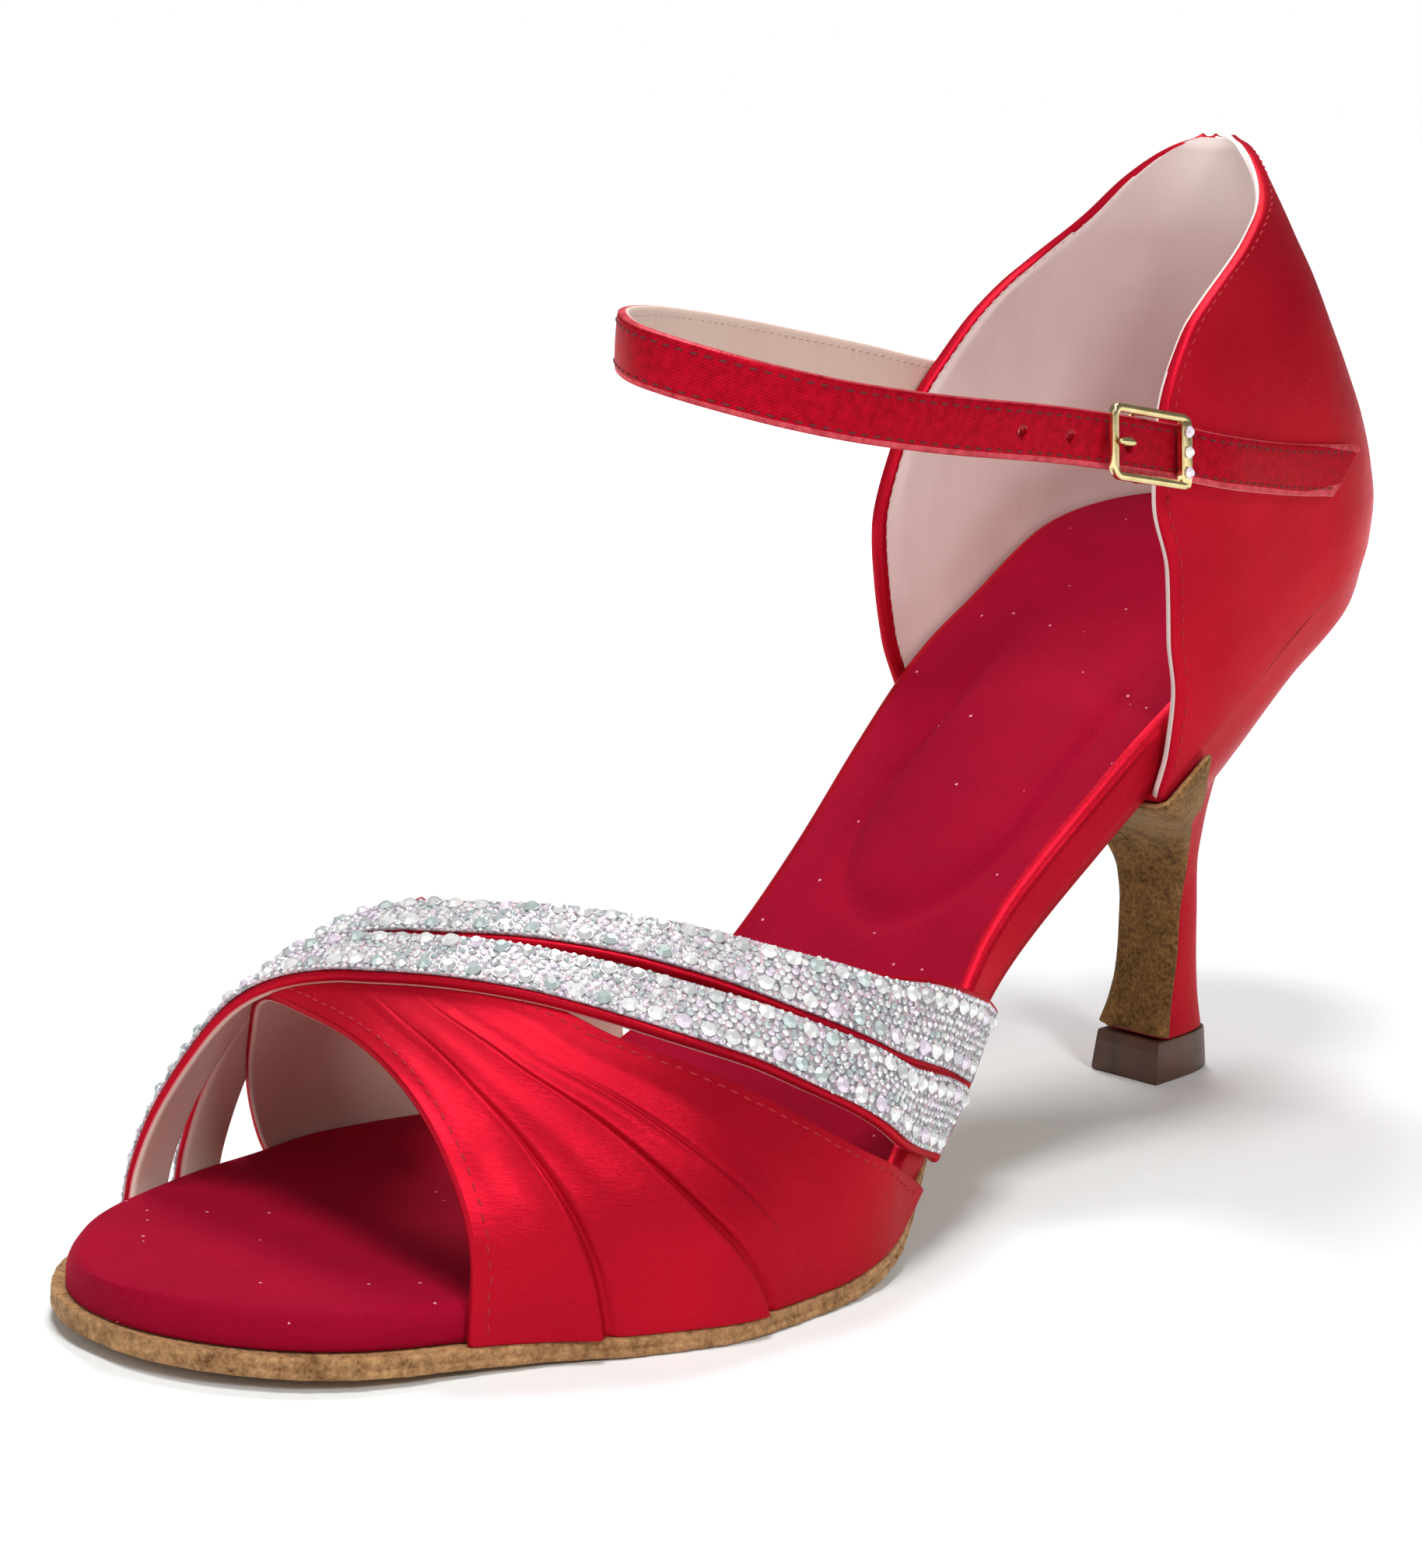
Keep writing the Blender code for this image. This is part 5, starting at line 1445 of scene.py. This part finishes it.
def rod(points, radius, sides=14):
    points = np.asarray(points, float)
    radius = np.broadcast_to(radius, (len(points),))
    heading = unit(np.gradient(points, axis=0))
    across = unit(np.cross(heading[0], [0.31, 0.17, 0.93]))
    rings = []
    angles = np.linspace(0, 2 * math.pi, sides + 1)[:-1]
    for place, ahead, size in zip(points, heading, radius):
        across = unit(across - ahead * np.dot(across, ahead))
        other = np.cross(ahead, across)
        rings.append([place + size * (math.cos(a) * across + math.sin(a) * other) for a in angles])
    return rings


def makeAnkleStrap():
    low, high = anklePath(ankleSizes["along"])
    outward = outwardOf(low, high)
    shares = np.linspace(0, 1, 14)
    inside = low[:, None] + (high - low)[:, None] * shares[None, :, None]
    crown = 0.00018 * np.sin(np.pi * shares) ** 0.5
    outside = inside + outward[:, None, :] * (ankleSizes["wall"] + crown - 0.00012)[None, :, None]

    def cut(i, j):
        # the free end is cut pale, and so is its lower edge
        end = ankleSizes["along"] - 1
        return (0.12, 0.80) if i == end or (j == 0 and i > ankleSizes["along"] * 0.8) else edged(i, j)

    piece = wallPiece("ankleStrap", outside, inside, [strapSatin, beigeLining, paleEdge], 0.0002, 8, cut)
    holes = [(station, ankleSizes["hole"], 0.0) for station in holeStations]
    holes.append((ankleSizes["buckleAt"], ankleSizes["pinHole"], ankleSizes["pinAt"]))
    for station, radius, along in holes:
        spot = ankleFrame(station)
        ends = [inFrame(spot, along, 0.0, out) for out in (-0.002, ankleSizes["wall"] + 0.002)]
        cutter = loftPiece("punch", rod(ends, radius, 24), [satin])
        step = piece.modifiers.new("hole", "BOOLEAN")
        step.operation, step.solver, step.object = "DIFFERENCE", "EXACT", cutter
        bpy.context.view_layer.update()
        graph = bpy.context.evaluated_depsgraph_get()
        punched = bpy.data.meshes.new_from_object(piece.evaluated_get(graph))
        piece.modifiers.clear()
        piece.data = punched
        bpy.data.objects.remove(cutter, do_unlink=True)
    stand(piece, "satin", "ankle_strap")
    rows, pale = [], []
    along = slice(3, -3)
    edge = ankleSizes["stitchIn"] / ankleSizes["width"]
    for share in (edge, 1 - edge):
        line = low + (high - low) * share
        rows.append(((line + outward * (ankleSizes["wall"] + 0.00001))[along], outward[along]))
        pale.append((line[along], -outward[along]))
    sewn("ankleStitchesRed", rows, darkThread)
    sewn("ankleStitchesPale", pale, paleThread)


def makeTab():
    spot = ankleFrame(ankleSizes["buckleAt"])
    gap, wall, width = last["gap"], ankleSizes["tabWall"], ankleSizes["tabWidth"]
    onCup = gap + counter["wall"] + gap * ankleSizes["lay"]
    rows = [laidEdges(0, station, station, onCup + wall / 2, width) for station in (0.255, 0.285, 0.308)]
    centre = -(gap + 0.0005)
    swing = 0.0005 + gap * ankleSizes["lay"] + wall / 2
    for angle in (-70, -95, -125, -155, -180):
        along, out = swing * math.cos(math.radians(angle)), centre + swing * math.sin(math.radians(angle))
        rows.append(np.r_[inFrame(spot, along, -width / 2, out), inFrame(spot, along, width / 2, out)])
    path = smoothPath(rows, 120)
    low, high = path[:, :3], path[:, 3:]
    normal = unit(np.cross(np.gradient((low + high) / 2, axis=0), high - low))
    shares = np.linspace(0, 1, 8)
    grid = low[:, None] + (high - low)[:, None] * shares[None, :, None]
    one, other = grid - normal[:, None, :] * wall / 2, grid + normal[:, None, :] * wall / 2
    stand(wallPiece("buckleTab", one, other, [satin, satin], 0.0002, 4), "satin", "buckle_tab")


buckle = {"length": 0.0172, "width": 0.0103, "bar": 0.0012, "turn": 0.0013, "plate": 0.0021}
buckle.update({"stone": 0.00085, "clear": 1.6, "bridge": 0.0005, "stoneStep": 0.27})


def squared(share, size):
    # a cosine or sine made squarer by a power under one
    return math.copysign(abs(share) ** size, share)


def makeBuckle():
    spot = ankleFrame(ankleSizes["buckleAt"])
    bar = buckle["bar"] / 2
    out = ankleSizes["wall"] + last["gap"] * buckle["clear"] + bar
    halfRun, halfUp = (buckle["length"] - buckle["bar"]) / 2, (buckle["width"] - buckle["bar"]) / 2
    turn = buckle["turn"]
    angles = np.linspace(0, 2 * math.pi, 17)[:-1]
    section = [(squared(math.cos(a), 0.55), squared(math.sin(a), 0.55)) for a in angles]
    rings = []
    for corner in range(4):
        sideRun, sideUp = ((1, 1), (-1, 1), (-1, -1), (1, -1))[corner]
        for part in np.linspace(0, 1, 10):
            angle = math.pi / 2 * (corner + part)
            ahead, up = math.cos(angle), math.sin(angle)
            runAt, upAt = sideRun * (halfRun - turn), sideUp * (halfUp - turn)
            ring = []
            for wide, deep in section:
                reach = turn + wide * bar
                ring.append(inFrame(spot, runAt + ahead * reach, upAt + up * reach, out + deep * bar))
            rings.append(ring)
    size, rows = len(section), len(rings)
    faces = []
    for i in range(rows):
        for j in range(size):
            k, n = (j + 1) % size, (i + 1) % rows
            faces.append((i * size + j, i * size + k, n * size + k, n * size + j))
    stand(meshPiece("buckleFrame", np.array(rings).reshape(-1, 3), faces, [gold]), "gold", "buckle")
    plateAt = halfRun - 0.0006
    half = buckle["plate"] / 2
    slab = []
    for deep, shrink in ((-bar * 0.8, 0.9), (bar * 0.7, 1.0), (bar * 1.05, 0.86)):
        corners = []
        for a in np.linspace(0, 2 * math.pi, 33)[:-1]:
            x = squared(math.cos(a), 0.4) * half * shrink
            y = squared(math.sin(a), 0.2) * (halfUp + bar * 0.4) * shrink
            corners.append(inFrame(spot, plateAt + x, y, out + deep))
        slab.append(corners)
    stand(loftPiece("bucklePlate", slab, [gold], sharp=40), "gold")
    bend = buckle["bridge"]
    low = -(last["gap"] + bend)
    bridge = [(halfUp, out), (halfUp, low + bend), (halfUp - bend, low), (bend - halfUp, low)]
    bridge += [(-halfUp, low + bend), (-halfUp, out)]
    line = [inFrame(spot, 0.0, up, height) for up, height in bridge]
    stand(loftPiece("buckleBridge", rod(line, bend), [gold]), "gold")
    top = ankleSizes["wall"] + last["gap"] * buckle["clear"] + buckle["bar"] + last["gap"] + 0.0005
    path = [(-0.0028, -0.0012), (-0.0031, 0.0004), (-0.0034, 0.0018), (-0.0044, 0.0030), (-0.0060, top)]
    path += [(-buckle["length"] / 2, top)]
    fine = smoothPath([inFrame(spot, along, 0.0, height) for along, height in path], 40)
    girth = np.r_[np.linspace(0.00045, 0.00055, 34), 0.00055, 0.0005, 0.00045, 0.00038, 0.00026, 0.0001]
    stand(loftPiece("bucklePin", rod(fine, girth), [gold]), "gold", "prong")
    seat = ankleSizes["wall"] + last["gap"] * buckle["clear"] + buckle["bar"] + 0.0001
    shares = (-buckle["stoneStep"], 0.0, buckle["stoneStep"])
    places = [inFrame(spot, plateAt, share * buckle["width"], seat) for share in shares]
    inputs = {"Radius": buckle["stone"], "Height": 0.0007, "Tilt": 0.02, "Seed": 3, "Look": stoneLook}
    piece = repeatOn("buckleStones", "stones", places, [spot[3]] * 3, [spot[1]] * 3, inputs)
    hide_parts("buckle_crystal_1", "buckle_crystal_2", "buckle_crystal_3")


makeAnkleStrap()
makeTab()
makeBuckle()
print("ankle strap and buckle made")
